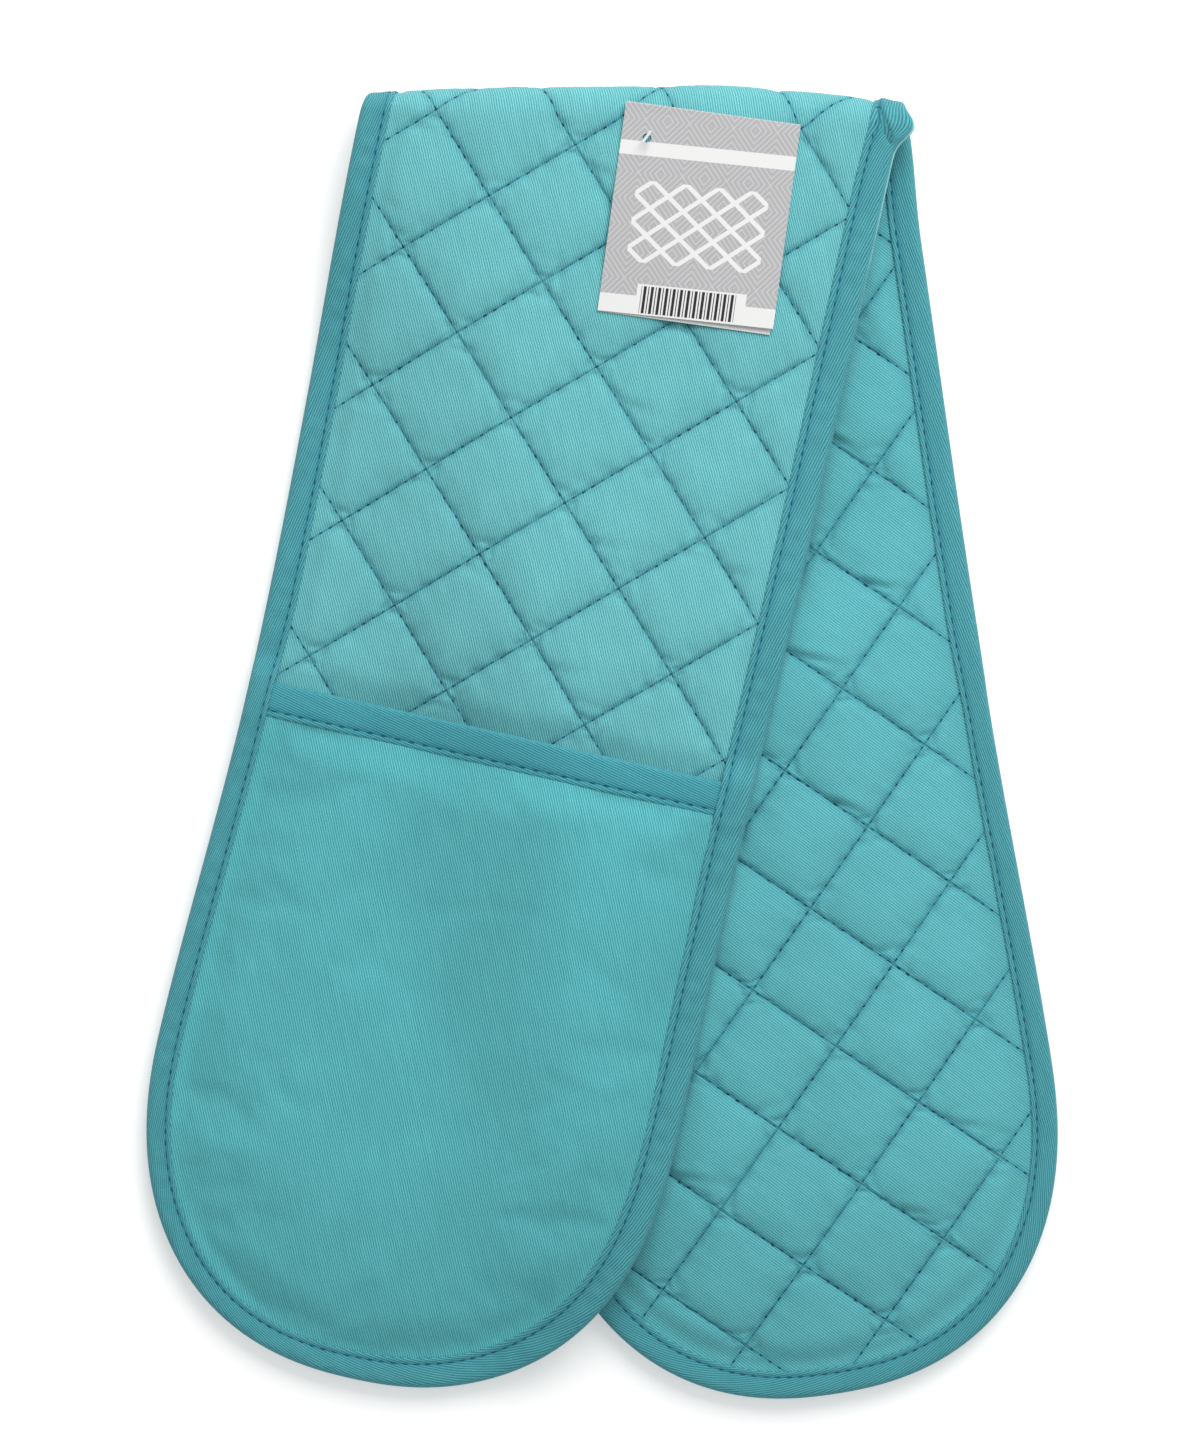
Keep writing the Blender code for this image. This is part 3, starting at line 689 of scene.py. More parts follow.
def swollen_diamonds(seed, pressure, slack, highest):
    """A patch of diamonds blown up by Cloth between held stitch lines: moves of its grid points."""
    count = LIBRARY * STEPS + 1
    first, second = np.meshgrid(positions(0, LIBRARY), positions(0, LIBRARY), indexing="ij")
    rows = (first + second) * DIAMOND_HALF_LENGTH
    columns = (first - second) * DIAMOND_HALF_WIDTH
    swell = np.abs(np.sin(np.pi * first) * np.sin(np.pi * second)) ** CROWN_EXPONENT
    bumps = waves(rows, columns, seed, BUMP_COUNT, *BUMP_WAVES)
    start = np.stack([rows, columns, swell * (START_SWELL + BUMP * bumps)], -1).reshape(-1, 3)
    quads = squares(np.arange(count * count).reshape(count, count)).reshape(-1, 4)
    held = np.zeros((count, count), bool)
    held[::STEPS] = held[:, ::STEPS] = True
    moved = simulate(start, quads.tolist(), held.ravel(), pressure, slack)
    moves = moved - np.stack([rows, columns, rows * 0], -1).reshape(-1, 3)
    moves[:, :2] = np.clip(moves[:, :2], -highest / 3, highest / 3)
    moves[:, 2] = highest * np.clip(moves[:, 2] / highest, 0, 1) ** FLATNESS
    return moves.reshape(count, count, 3)


def simulate(points, faces, held, pressure, slack):
    """The points after a short Cloth run with the held ones fixed."""
    data = bpy.data.meshes.new("cloth_run")
    data.from_pydata(points.tolist(), [], faces)
    data.update()
    if data.polygons[0].normal.z < 0:
        data.flip_normals()
    thing = linked("cloth_run", data)
    group = thing.vertex_groups.new(name="held")
    group.add(np.nonzero(held)[0].tolist(), 1.0, "REPLACE")
    modifier = thing.modifiers.new("Cloth", "CLOTH")
    settings = modifier.settings
    settings.vertex_group_mass = "held"
    settings.use_pressure = True
    settings.uniform_pressure_force = pressure
    settings.shrink_min = -slack
    settings.bending_stiffness = BENDING
    settings.effector_weights.gravity = 0
    modifier.collision_settings.use_collision = False
    for number in range(1, CLOTH_FRAMES + 1):
        bpy.context.scene.frame_set(number)
    evaluated = thing.evaluated_get(bpy.context.evaluated_depsgraph_get())
    found = np.zeros(len(points) * 3, np.float32)
    evaluated.data.vertices.foreach_get("co", found)
    bpy.data.objects.remove(thing)
    bpy.context.scene.frame_set(1)
    return found.reshape(-1, 3).astype(float)


def waves(first, second, seed, count, low, high):
    """The sum of this many waves in random directions, with lengths between two others."""
    random = np.random.default_rng(seed)
    total = np.zeros(np.broadcast(first, second).shape)
    for _ in range(count):
        turn, phase = random.uniform(0, 2 * np.pi, 2)
        length = random.uniform(low, high)
        run = first * np.cos(turn) + second * np.sin(turn)
        total += np.sin(run * 2 * np.pi / length + phase)
    return total


def ripple(first, second, seed, size, low, high):
    """Gentle random unevenness, between minus and plus the size."""
    total = waves(first, second, seed, RIPPLE_COUNT, low, high)
    return size * np.clip(total / RIPPLE_SPREAD, -1, 1)


def puckers(cross, normal, seed):
    """Soft creases that start at a row of stitches and run level across part of a diamond."""
    random = np.random.default_rng(seed)
    depth = np.zeros(cross.shape)
    for first in range(-LATTICE_ROWS, LATTICE_ROWS):
        for second in range(-LATTICE_ROWS, LATTICE_ROWS):
            chosen, share, length, lean, deep, sag = random.uniform(0, 1, 6)
            front = to_fold(*lattice_point(first + 0.5, second + 0.5))[1] > 0
            start = (first + mix(*PUCKER_STARTS, share), second + 1)
            if not front:
                start = (first, second + 1 - mix(*PUCKER_STARTS, share))
            start_cross, start_normal = to_fold(*lattice_point(*start))
            if chosen > PUCKER_SHARE or abs(start_normal) < 2 * QUARTER:
                continue
            lean = math.radians(mix(*PUCKER_LEANS, lean))
            length = mix(*PUCKER_LENGTHS, length)
            ahead = cross - start_cross
            down = (normal - start_normal) * (1 if front else -1)
            near = (np.abs(ahead - length / 2) < length) & (np.abs(down) < PUCKER_REACH)
            ahead, down = ahead[near], down[near]
            run = ahead * math.cos(lean) + down * math.sin(lean)
            off = ahead * math.sin(lean) - down * math.cos(lean)
            off = off + mix(*PUCKER_SAGS, sag) * (run / length) ** 2
            fade = smooth(run / PUCKER_START_RUN) * smooth((length - run) / (PUCKER_FADE * length))
            lip = LIP * hill(off, LIP_FROM_VALLEY, LIP_RUN)
            depth[near] += mix(*PUCKER_DEPTHS, deep) * fade * (lip - hill(off, 0, VALLEY_RUN))
    return depth


def quilted_sheet(offset, seed):
    """Flat quilted cloth over the whole strap: (cross, normal, height) points and quads."""
    lines = positions(-LATTICE_ROWS, LATTICE_ROWS)
    numbers = np.arange(len(lines))
    first, second = np.meshgrid(lines, lines, indexing="ij")
    along, across = lattice_point(first, second)
    picks = np.meshgrid(
        (numbers + offset * STEPS) % (LIBRARY * STEPS),
        (numbers + 2 * offset * STEPS) % (LIBRARY * STEPS),
        indexing="ij",
    )
    swelling = smooth(swell_distance(along, across) / CROWN_RUN)[..., None]
    moves = LIBRARY_OF_DIAMONDS[picks[0], picks[1]] * swelling**CROWN_RISE
    height = EDGE_HALF + moves[..., 2]
    loose = smooth(swell_distance(along, across) / SAG_RUN)
    sag = ripple(along, across, seed, SAG, *SAG_WAVES) * loose
    used, faces = squares_inside(along, across)
    cross, normal = to_fold(along + moves[..., 0], across + moves[..., 1])
    sag = sag + puckers(cross, normal, seed + PUCKER_SEED) * loose
    points = np.stack([cross, normal, height + sag], -1).reshape(-1, 3)[used]
    return points, faces


def stretches_of(points, faces):
    """The sheet cut at the lines between stretches: for each, its own points and faces."""
    mesh = bmesh.new()
    corners = [mesh.verts.new(point) for point in points]
    for face in faces:
        mesh.faces.new([corners[corner] for corner in face])
    for line in (-QUARTER / 2, 0.0, QUARTER / 2):
        reach = QUARTER / 2
        near = [face for face in mesh.faces if abs(face.calc_center_median().y - line) < reach]
        parts = set(near)
        for face in near:
            parts.update(face.edges)
            parts.update(face.verts)
        cut = {"dist": CUT_SNAP, "plane_co": (0, line, 0), "plane_no": (0, 1, 0)}
        bmesh.ops.bisect_plane(mesh, geom=list(parts), **cut)
    found = []
    for _, low, high, _, _ in STRETCHES:
        kept = [face for face in mesh.faces if low < face.calc_center_median().y < high]
        index = {}
        for face in kept:
            for corner in face.verts:
                index.setdefault(corner, len(index))
        own = np.array([corner.co for corner in index])
        found.append((own, [[index[corner] for corner in face.verts] for face in kept]))
    mesh.free()
    return found


def closed_between(count, faces):
    """Faces of a closed form: a top of count points, the same points again below, and the rim."""
    seen = {}
    for face in faces:
        for start, end in zip(face, face[1:] + face[:1]):
            seen[(start, end)] = (end, start) not in seen
            if (end, start) in seen:
                seen[(end, start)] = False
    rim = [pair for pair, alone in seen.items() if alone]
    below = [[corner + count for corner in reversed(face)] for face in faces]
    walls = [[end, start, start + count, end + count] for start, end in rim]
    rim = np.array(rim)
    return list(faces) + below + walls, np.concatenate([rim, rim + count])


def below_limit(crown):
    """Height of the pillows, which stay clear of the tag that swings over them."""
    return -CROWN_SOFTNESS * np.logaddexp(-crown / CROWN_SOFTNESS, -CROWN_LIMIT / CROWN_SOFTNESS)


def roll_fill(cross, normal):
    """How far the rows of quilting lie up out of their channels where the strap is bent."""
    inset = edge_distance(*to_strap(cross, normal), 0.0)
    under = smooth((inset - ROLL_RISE_START) / (STITCH_INSET - ROLL_RISE_START))
    inner = smooth((inset - BORDER) / ROLL_FILL_RUN)
    fill = ROLL_RISE * under + (ROLL_FILL - ROLL_RISE) * inner
    return fill * smooth(ROLL_END - np.abs(normal) / QUARTER)


def quilted_layer(kind, offset, seed, side, material, nodes):
    """One padded face of the strap, in four stretches. side is 1 towards the pockets."""
    points, faces = quilted_sheet(offset, seed)
    for stretch, (own, own_faces) in zip(STRETCHES, stretches_of(points, faces)):
        cross, normal, height = own.T
        if side < 0:
            swell = mix(REVERSE_SWELL, 1, smooth(np.abs(normal) / QUARTER - 1))
            height = EDGE_HALF + (height - EDGE_HALF) * swell
        else:
            short = MOUTH - np.abs(to_strap(cross, normal)[0])
            crown = (height - EDGE_HALF) * (1 - MOUTH_DIP * smooth(1 - short / MOUTH_DIP_RUN))
            crown = crown * mix(ROLL_SWELL, 1, smooth(np.abs(normal) / QUARTER - ROLL_SWELL_START))
            height = EDGE_HALF + below_limit(crown + roll_fill(cross, normal))
        top = place(cross, normal, side * height)
        below = place(cross, normal, side * CLEARANCE)
        every = [list(face) for face in own_faces]
        every = every if side > 0 else [face[::-1] for face in every]
        closed, rim = closed_between(len(own), every)
        cloth = np.stack(to_strap(cross, normal), -1)
        points, twice = np.concatenate([top, below]), np.tile(cloth, (2, 1))
        thing = piece(f"{kind}_{stretch[0]}", points, closed, material, twice, rim)
        bend(thing)
        stood_for = [f"{prefix}_{node}" for prefix in STOOD_FOR[stretch[0]] for node in nodes]
        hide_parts(*stood_for)


# Stitches
THREAD_SIDES = 6
THREAD_RINGS = 5
THREAD_TAPER = 0.55
THREAD_SINK = 0.6
THREAD_STAND = 0.6


def stitches(name, before, after, outward, radius, material):
    """A mesh of short thread stitches between pairs of points, each end sinking into the cloth."""
    middle = (before + after) / 2
    run = after - before
    length = np.linalg.norm(run, axis=1, keepdims=True)
    tangent = run / length
    outward = outward - tangent * np.sum(outward * tangent, axis=1, keepdims=True)
    outward /= np.linalg.norm(outward, axis=1, keepdims=True)
    sideways = np.cross(tangent, outward)
    points, cloth = [], []
    for ring in range(THREAD_RINGS):
        share = ring / (THREAD_RINGS - 1) * 2 - 1
        thick = radius * (1 - THREAD_TAPER * share**4)
        sink = radius * THREAD_SINK * (2 * share**2 - THREAD_STAND)
        centre = middle + tangent * length * share / 2 - outward * sink
        for side in range(THREAD_SIDES):
            turn = 2 * math.pi * side / THREAD_SIDES
            points.append(centre + (outward * math.cos(turn) + sideways * math.sin(turn)) * thick)
            around = np.full(len(middle), radius * turn)
            cloth.append(np.stack([length[:, 0] * share / 2, around], -1))
    points = np.stack(points, 1)
    points[..., 2] = np.maximum(points[..., 2], FLOOR_GAP)
    cloth = np.stack(cloth, 1)
    each = THREAD_RINGS * THREAD_SIDES
    template = []
    for ring in range(THREAD_RINGS - 1):
        for side in range(THREAD_SIDES):
            other = (side + 1) % THREAD_SIDES
            here, there = ring * THREAD_SIDES, (ring + 1) * THREAD_SIDES
            template.append([here + side, here + other, there + other, there + side])
    ends = [list(range(THREAD_SIDES))[::-1], list(range(each - THREAD_SIDES, each))]
    faces = []
    for number in range(len(middle)):
        faces += [[corner + number * each for corner in face] for face in template + ends]
    return piece(name, points.reshape(-1, 3), faces, material, cloth.reshape(-1, 2))


def laid(along, across, step_along, step_across, height):
    """Both ends of stitches on the strap, and the way out of the cloth there."""
    before = place_strap(along - step_along / 2, across - step_across / 2, height)
    after = place_strap(along + step_along / 2, across + step_across / 2, height)
    outward = place_strap(along, across, height) - place_strap(along, across, 0.0)
    return before, after, outward * np.sign(height + 0 * along)[:, None]


QUILT_PITCH = 0.0037
QUILT_STITCH = 0.0017
QUILT_RADIUS = 0.00024
QUILT_SINK = 0.00004
QUILT_UNDER_TAPE = 0.001


def quilting(side):
    """Rows of quilting stitches on one face of the strap."""
    middles, steps = [], []
    cell = math.hypot(DIAMOND_HALF_LENGTH, DIAMOND_HALF_WIDTH)
    places = np.arange(-LATTICE_ROWS, LATTICE_ROWS, QUILT_PITCH / cell)
    for row in range(-LATTICE_ROWS, LATTICE_ROWS + 1):
        for first, second, ahead in (
            (row + places * 0, places, (0, 1)),
            (places, row + places * 0, (1, 0)),
        ):
            start = np.array(lattice_point(first, second)).T
            step = np.array(lattice_point(*ahead)) - np.array(lattice_point(0, 0))
            keep = edge_distance(start[:, 0], start[:, 1], 0.0) > BINDING_WIDTH - QUILT_UNDER_TAPE
            middles.append(start[keep])
            steps.append(np.tile(step / np.linalg.norm(step) * QUILT_STITCH, (keep.sum(), 1)))
    middles, steps = np.concatenate(middles), np.concatenate(steps)
    normal = to_fold(*middles.T)[1]
    kind = "face" if side > 0 else "reverse"
    for stretch in STRETCHES:
        mine = (normal >= stretch[1]) & (normal < stretch[2])
        lift = roll_fill(*to_fold(*middles[mine].T)) * (side > 0)
        height = side * (EDGE_HALF - QUILT_SINK + lift)
        before, after, outward = laid(*middles[mine].T, *steps[mine].T, height)
        name = f"{kind}_stitches_{stretch[0]}"
        thing = stitches(name, before, after, outward * side, QUILT_RADIUS, QUILTING_THREAD)
        bend(thing)


# Binding
EDGE_STEP = 0.0015
FINE_STEP = 0.0006
FINE_RUN = 0.024
TAPE_PITCH = 0.0042
TAPE_STITCH = 0.0022
TAPE_RADIUS = 0.00022
FRONT_RIGHT_TAPE = 0.0109
FRONT_LEFT_TAPE = (0.0098, 0.0082)
BACK_RIGHT_TAPE = (0.0100, 0.0088)
BACK_LEFT_TAPE = 0.0095
FLARE = 0.0048
FLARE_MIDDLE = 0.0107
FLARE_RUN = 0.0050
FLAP_WIDTH = 0.0090
FLAP_END = 0.0195
FLAP_LIFT = 0.0010
FLAP_STEP = 0.0010
FLAP_START = 0.0045
FLAP_START_RUN = 0.004
FLAP_FADE = 0.006
CREASE = 0.0006
CREASE_RUN = 0.0008
CREASE_START_RUN = 0.005
FLANK_OVERRUN = 0.03
FLANK_POINTS = 600
TIP_POINTS = 400
SKEW_RUN = 0.03
ROUNDS = 6
STACK_LEAD = 0.009
STACK_RUN = 0.008
HEM_BUMP_RUN = 0.004
POCKET_LEAD = 0.03
POCKET_RUN = 0.04
RIPPLE = 0.28
RIPPLE_REACH = 0.0008
BULGE = 0.00022
BULGE_WAVE = 0.0113
BULGE_DRIFT = 3
BULGE_DRIFT_WAVE = 0.05
BULGE_INSET = 0.005
BULGE_RUN = 0.004
EDGE_SWELL = 1.04
EDGE_SHAPE = 0.8
SEAM_SWELL = 0.34
THREAD_LIFT = 0.0001


def marks_along(length):
    """Places of the tape's sections along a run of edge, closer together beside the fold."""
    if length < 2 * FINE_RUN:
        return np.linspace(0, length, round(length / FINE_STEP) + 1)
    fine = np.linspace(0, FINE_RUN, round(FINE_RUN / FINE_STEP) + 1)
    steps = round((length - 2 * FINE_RUN) / EDGE_STEP)
    middle = np.linspace(FINE_RUN, length - FINE_RUN, steps + 1)
    return np.concatenate([fine[:-1], middle, length - fine[-2::-1]])


def edge_loops(stretch):
    """The runs of the strap's edge in a stretch, as (along, across) points."""
    name, low, high, _, _ = stretch
    if name in ("back", "front"):
        side = -1 if name == "back" else 1
        line = high if name == "back" else low
        turn = np.linspace(0, math.pi / 2, TIP_POINTS)
        tip = LOBE_START + LOBE_LENGTH * np.sin(turn) ** (2 / LOBE_EXPONENT)
        flank = LOBE_WIDTH / 2 * np.cos(turn) ** (2 / LOBE_EXPONENT)
        run = np.linspace(-FLANK_OVERRUN, LOBE_START, FLANK_POINTS)[:-1]
        right = np.stack([np.concatenate([run, tip]), np.concatenate([half_width(run), flank])], -1)
        left = right[::-1][1:] * (1, -1)
        loop = np.concatenate([right, left]) * (side, 1)
        normal = to_fold(*loop.T)[1]
        beyond = np.nonzero(normal * side > line * side)[0]
        first, last = beyond[0], beyond[-1]
        starts = []
        for inner, outer in ((first, first - 1), (last, last + 1)):
            share = (line - normal[outer]) / (normal[inner] - normal[outer])
            starts.append(mix(loop[outer], loop[inner], share))
        return [np.concatenate([[starts[0]], loop[first : last + 1], [starts[1]]])]
    loops = []
    for flank in (1, -1):
        ends = []
        for line in (low, high):
            along = 0.0
            for _ in range(ROUNDS):
                along = (line - flank * half_width(along) * math.sin(SLANT)) / math.cos(SLANT)
            ends.append((along, flank * float(half_width(along))))
        loops.append(np.array(ends))
    return loops


def edge_stations(stretch):
    """For each run of the edge: how far along it every station lies, its place and the way in."""
    found = []
    for loop in edge_loops(stretch):
        gaps = np.linalg.norm(np.diff(loop, axis=0), axis=1)
        marks = np.concatenate([[0], np.cumsum(gaps)])
        wanted = marks_along(marks[-1])
        even = np.stack([np.interp(wanted, marks, loop[:, axis]) for axis in (0, 1)], -1)
        run = np.gradient(even, axis=0)
        inward = np.stack([-run[:, 1], run[:, 0]], -1)
        inward /= np.linalg.norm(inward, axis=1, keepdims=True)
        toward = -even
        toward[:, 0] *= np.abs(even[:, 0]) > LOBE_START
        inward *= np.sign(np.sum(inward * toward, axis=1, keepdims=True))
        normal = to_fold(*even.T)[1]
        skew = 1 - smooth((np.abs(normal) - QUARTER) / SKEW_RUN)
        inward[:, 0] += np.sign(even[:, 1]) * math.tan(SLANT) * skew * np.abs(inward[:, 1])
        found.append((wanted, even, inward))
    return found


def tape_top(along):
    """Height of the underside of the binding's upper leg."""
    run = np.abs(along)
    thick = smooth((run - MOUTH + STACK_LEAD) / STACK_RUN)
    over_hem = smooth((run - MOUTH + HEM_BUMP_RUN) / HEM_BUMP_RUN)
    over_hem = over_hem * smooth((HEM_LINE + HEM_BUMP_RUN - run) / HEM_BUMP_RUN)
    stack = (CLEARANCE + POCKET_STACK + mouth_lift(along)) * thick
    return EDGE_HALF + CLEARANCE + stack + (HEM_WALL + CLEARANCE) * over_hem


def tape_width(along, across):
    """Width of the binding beside a point of the edge, which varies as it was sewn."""
    at_pocket = smooth((np.abs(along) - MOUTH + POCKET_LEAD) / POCKET_RUN)
    right = smooth(0.5 + across / LOBE_WIDTH)
    back = mix(BACK_LEFT_TAPE, mix(*BACK_RIGHT_TAPE, at_pocket), right)
    front = mix(mix(*FRONT_LEFT_TAPE, at_pocket), FRONT_RIGHT_TAPE, right)
    return mix(back, front, smooth(0.5 + along / POCKET_RUN))


# Section of a tape's upper leg: distance in from its edge, and height as a share of its wall
TAPE_PROFILE = (
    *((BINDING_WIDTH, 0.05), (0.00995, 0.45), (0.0098, 0.74), (0.0095, 0.88), (0.0090, 0.84)),
    *((0.0085, 0.56), (STITCH_INSET, 0.34), (0.0077, 0.46), (0.0072, 0.66), (0.0068, 0.80)),
    *((0.0064, 0.90), (0.0060, 0.96), (0.0056, 1.00), (0.0052, 1.04), (0.0048, 1.07)),
    *((0.0044, 1.10), (0.0040, 1.13), (0.0036, 1.14), (0.0032, 1.14), (0.0028, 1.12)),
)
EDGE_ROUND = 0.0024
EDGE_SIDES = 10


def wrapped(insets, first, count):
    """Cloth coordinate round a section: above 0 on its upper leg and below 0 on its lower one.
    count columns from the first run round its edge."""
    legs = np.where(np.arange(len(insets)) < first, 1.0, -1.0) * (np.array(insets) + EDGE_EXTRA)
    legs[first : first + count] = np.linspace(1, -1, count) * (insets[first] + EDGE_EXTRA)
    return legs


def rounded(top, bottom, depth, sides):
    """Insets and heights round a tape's edge, from its top to its bottom."""
    found = []
    for step in range(sides + 1):
        turn = math.pi / 2 - math.pi * step / sides
        inset = depth * (1 - math.cos(turn) ** EDGE_SHAPE)
        found.append((inset, (top + bottom) / 2 + (top - bottom) / 2 * math.sin(turn)))
    return found


def tape_section(low, high, wall, along_edge, bulge):
    """Inset and height of every point of the tape's section, for each station."""
    ripples = 1 + RIPPLE * np.cos(2 * np.pi * along_edge / TAPE_PITCH)
    upper, lower = [], []
    for inset, swell in TAPE_PROFILE:
        wanted = swell * wall
        if abs(inset - STITCH_INSET) < RIPPLE_REACH:
            wanted = wanted * ripples
        swollen = bulge * smooth(1 - abs(inset - BULGE_INSET) / BULGE_RUN)
        upper.append((inset, high + wanted + swollen))
        lower.append((inset, low - wanted))
    upper += rounded(high + EDGE_SWELL * wall, low - EDGE_SWELL * wall, EDGE_ROUND, EDGE_SIDES)
    inner = BINDING_WALL + CLEARANCE
    cavity = [(BINDING_WIDTH, low), (inner, low), (inner, high), (BINDING_WIDTH, high)]
    return upper + lower[::-1] + cavity


def at_corner(cross, normal, inset, height):
    """Moves sideways and up of the tape where it juts out as a flap at the fold's right end."""
    lying = smooth((normal + FLAP_START) / FLAP_START_RUN) * (cross > 0)
    out = FLARE * hill(normal, FLARE_MIDDLE, FLARE_RUN)
    out = out * np.clip(1 - inset / BINDING_WIDTH, 0, 1)
    crease = FLAP_WIDTH * (1 - (normal / FLAP_END) ** 2)
    held = lying * smooth((FLAP_END - normal) / FLAP_FADE) * (height > 0)
    valley = CREASE * smooth(normal / CREASE_START_RUN) * hill(inset, crease, CREASE_RUN)
    up = FLAP_LIFT * smooth((crease - inset) / FLAP_STEP) - valley
    return out * lying, up * held


def tube(sections, cloth_across, along_edge):
    """Points, faces and cloth coordinates of a closed tape from its sections."""
    count, stations = len(sections), len(along_edge)
    points = np.stack(sections, 1).reshape(-1, 3)
    cloth = np.broadcast_arrays(along_edge[:, None], cloth_across[None, :])
    cloth = np.stack(cloth, -1).reshape(-1, 2)
    faces = []
    for station in range(stations - 1):
        for corner in range(count):
            other = (corner + 1) % count
            here, there = station * count, (station + 1) * count
            faces.append([here + corner, here + other, there + other, there + corner])
    faces.append(list(range(count))[::-1])
    faces.append(list(range((stations - 1) * count, stations * count)))
    rim = np.stack([faces[-2], np.roll(faces[-2], 1)], -1)
    return points, faces, cloth, np.concatenate([rim, rim + (stations - 1) * count])


def bindings():
    """Tape round the strap's edge, in stretches, with its stitches."""
    for stretch in STRETCHES:
        points, faces, cloth, rims = [], [], [], []
        threads = {1: [], -1: []}
        for along_edge, edge, inward in edge_stations(stretch):
            low = -EDGE_HALF - CLEARANCE + 0 * along_edge
            high = tape_top(edge[:, 0])
            drift = BULGE_DRIFT * np.sin(along_edge * 2 * np.pi / BULGE_DRIFT_WAVE)
            bulge = BULGE * np.sin(along_edge * 2 * np.pi / BULGE_WAVE + drift)
            lying = smooth(np.abs(to_fold(*edge.T)[1]) / QUARTER - 1)
            wall = BINDING_WALL * mix(ROLLED_WALL, 1, lying)
            columns = tape_section(low, high, wall, along_edge, bulge * lying)
            scale = tape_width(*edge.T) / BINDING_WIDTH
            sections = []
            for inset, height in columns:
                spot = edge + inward * (inset * scale)[:, None]
                cross, normal = to_fold(*spot.T)
                out, up = at_corner(cross, normal, inset, height)
                up = up + roll_fill(cross, normal) * (height > 0)
                sections.append(place(cross, normal, height + up))
                sections[-1][..., 0] += out
            across = wrapped([inset for inset, _ in columns], len(TAPE_PROFILE), EDGE_SIDES + 1)
            # Only the front stretch starts at 0 along its edge, so only it carries the painted
            # highlight near the fold
            unhighlighted = 0.0 if stretch[0] == "front" else EDGE_HIGHLIGHT_RUN / MM
            made = tube(sections, across, along_edge + unhighlighted)
            before = sum(map(len, points))
            faces += [[corner + before for corner in face] for face in made[1]]
            rims.append(made[3] + before)
            points.append(made[0])
            cloth.append(made[2])
            marks = np.arange(TAPE_PITCH, along_edge[-1] - TAPE_PITCH / 2, TAPE_PITCH)
            if not len(marks):
                marks = np.array([along_edge[-1] / 2])
            row = edge + inward * (STITCH_INSET * scale)[:, None]
            spots = [np.interp(marks, along_edge, row[:, axis]) for axis in (0, 1)]
            ways = [np.interp(marks, along_edge, np.gradient(edge[:, axis])) for axis in (0, 1)]
            ways = np.stack(ways, -1)
            ways *= TAPE_STITCH / np.linalg.norm(ways, axis=1, keepdims=True)
            tops = np.interp(marks, along_edge, high + SEAM_SWELL * wall) + THREAD_LIFT
            threads[1].append(laid(*spots, *ways.T, tops + roll_fill(*to_fold(*spots))))
            bottoms = np.interp(marks, along_edge, low - SEAM_SWELL * wall) - THREAD_LIFT
            threads[-1].append(laid(*spots, *ways.T, bottoms))
        points, cloth, rims = np.concatenate(points), np.concatenate(cloth), np.concatenate(rims)
        thing = piece(f"binding_{stretch[0]}", points, faces, TAPE_TWILL, cloth, rims)
        recalculate(thing)
        bend(thing)
        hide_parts(*binding_nodes(stretch[0]))
        for side, kind in ((1, "upper"), (-1, "lower")):
            before, after, outward = (np.concatenate(parts) for parts in zip(*threads[side]))
            name = f"binding_stitches_{kind}_{stretch[0]}"
            sewn = stitches(name, before, after, outward * side, TAPE_RADIUS, TAPE_THREAD)
            bend(sewn)


def binding_nodes(name):
    """The solids that a stretch of binding stands for."""
    found = []
    for prefix in STOOD_FOR[name]:
        ends = ("_left", "_right") if prefix.startswith("fold") else ("",)
        found += [prefix + "_binding" + end for end in ends]
    return found


def recalculate(thing):
    """Turns every face of a closed mesh outwards."""
    mesh = bmesh.new()
    mesh.from_mesh(thing.data)
    bmesh.ops.recalc_face_normals(mesh, faces=mesh.faces[:])
    mesh.to_mesh(thing.data)
    mesh.free()


LIBRARY_OF_DIAMONDS = swollen_diamonds(SWELL_SEED, PRESSURE, SLACK, HIGHEST_SWELL)
quilted_layer("face", 0, 1, 1, FACE_TWILL, ("inner_cover", "wadding"))
quilted_layer("reverse", 2, 2, -1, REVERSE_TWILL, ("reverse_cover",))
quilting(1)
quilting(-1)
bindings()


# Pockets
PANEL_START = 0.001
PANEL_WAVES = (0.035, 0.11)
PANEL_RIPPLE = 0.0008
PANEL_PRESSURE = 1.5
PANEL_SLACK = 0.006
PANEL_LEAST, PANEL_MOST = -0.0014, 0.002
HEM_STEP = 0.0016
HEM_PITCH = 0.0047
HEM_END = 0.0055
HEM_RIPPLE = 0.3
HEM_RIPPLE_REACH = 0.0006
HEM_EDGE = 0.0012
HEM_EDGE_SWELL = 1.1
HEM_ROUND = 0.0016
HEM_SIDES = 8
HEM_INNER = 0.0009
HEM_SEAM_SWELL = 0.45
HEM_THREAD_LIFT = 0.0002
HEM_THREAD_END = 0.005
# Section of a hem's leg: distance down from the mouth, and height as a share of its wall
HEM_SECTION = (
    *((HEM_WIDTH, 0.15), (0.0113, 0.55), (0.0109, 0.85), (0.0104, 0.90), (0.0099, 0.75)),
    *((HEM_STITCH_LINE, 0.45), (0.0091, 0.80), (0.0083, 1.15), (0.0070, 1.35)),
    *((0.0055, 1.40), (0.0040, 1.35), (0.0026, 1.20)),
)


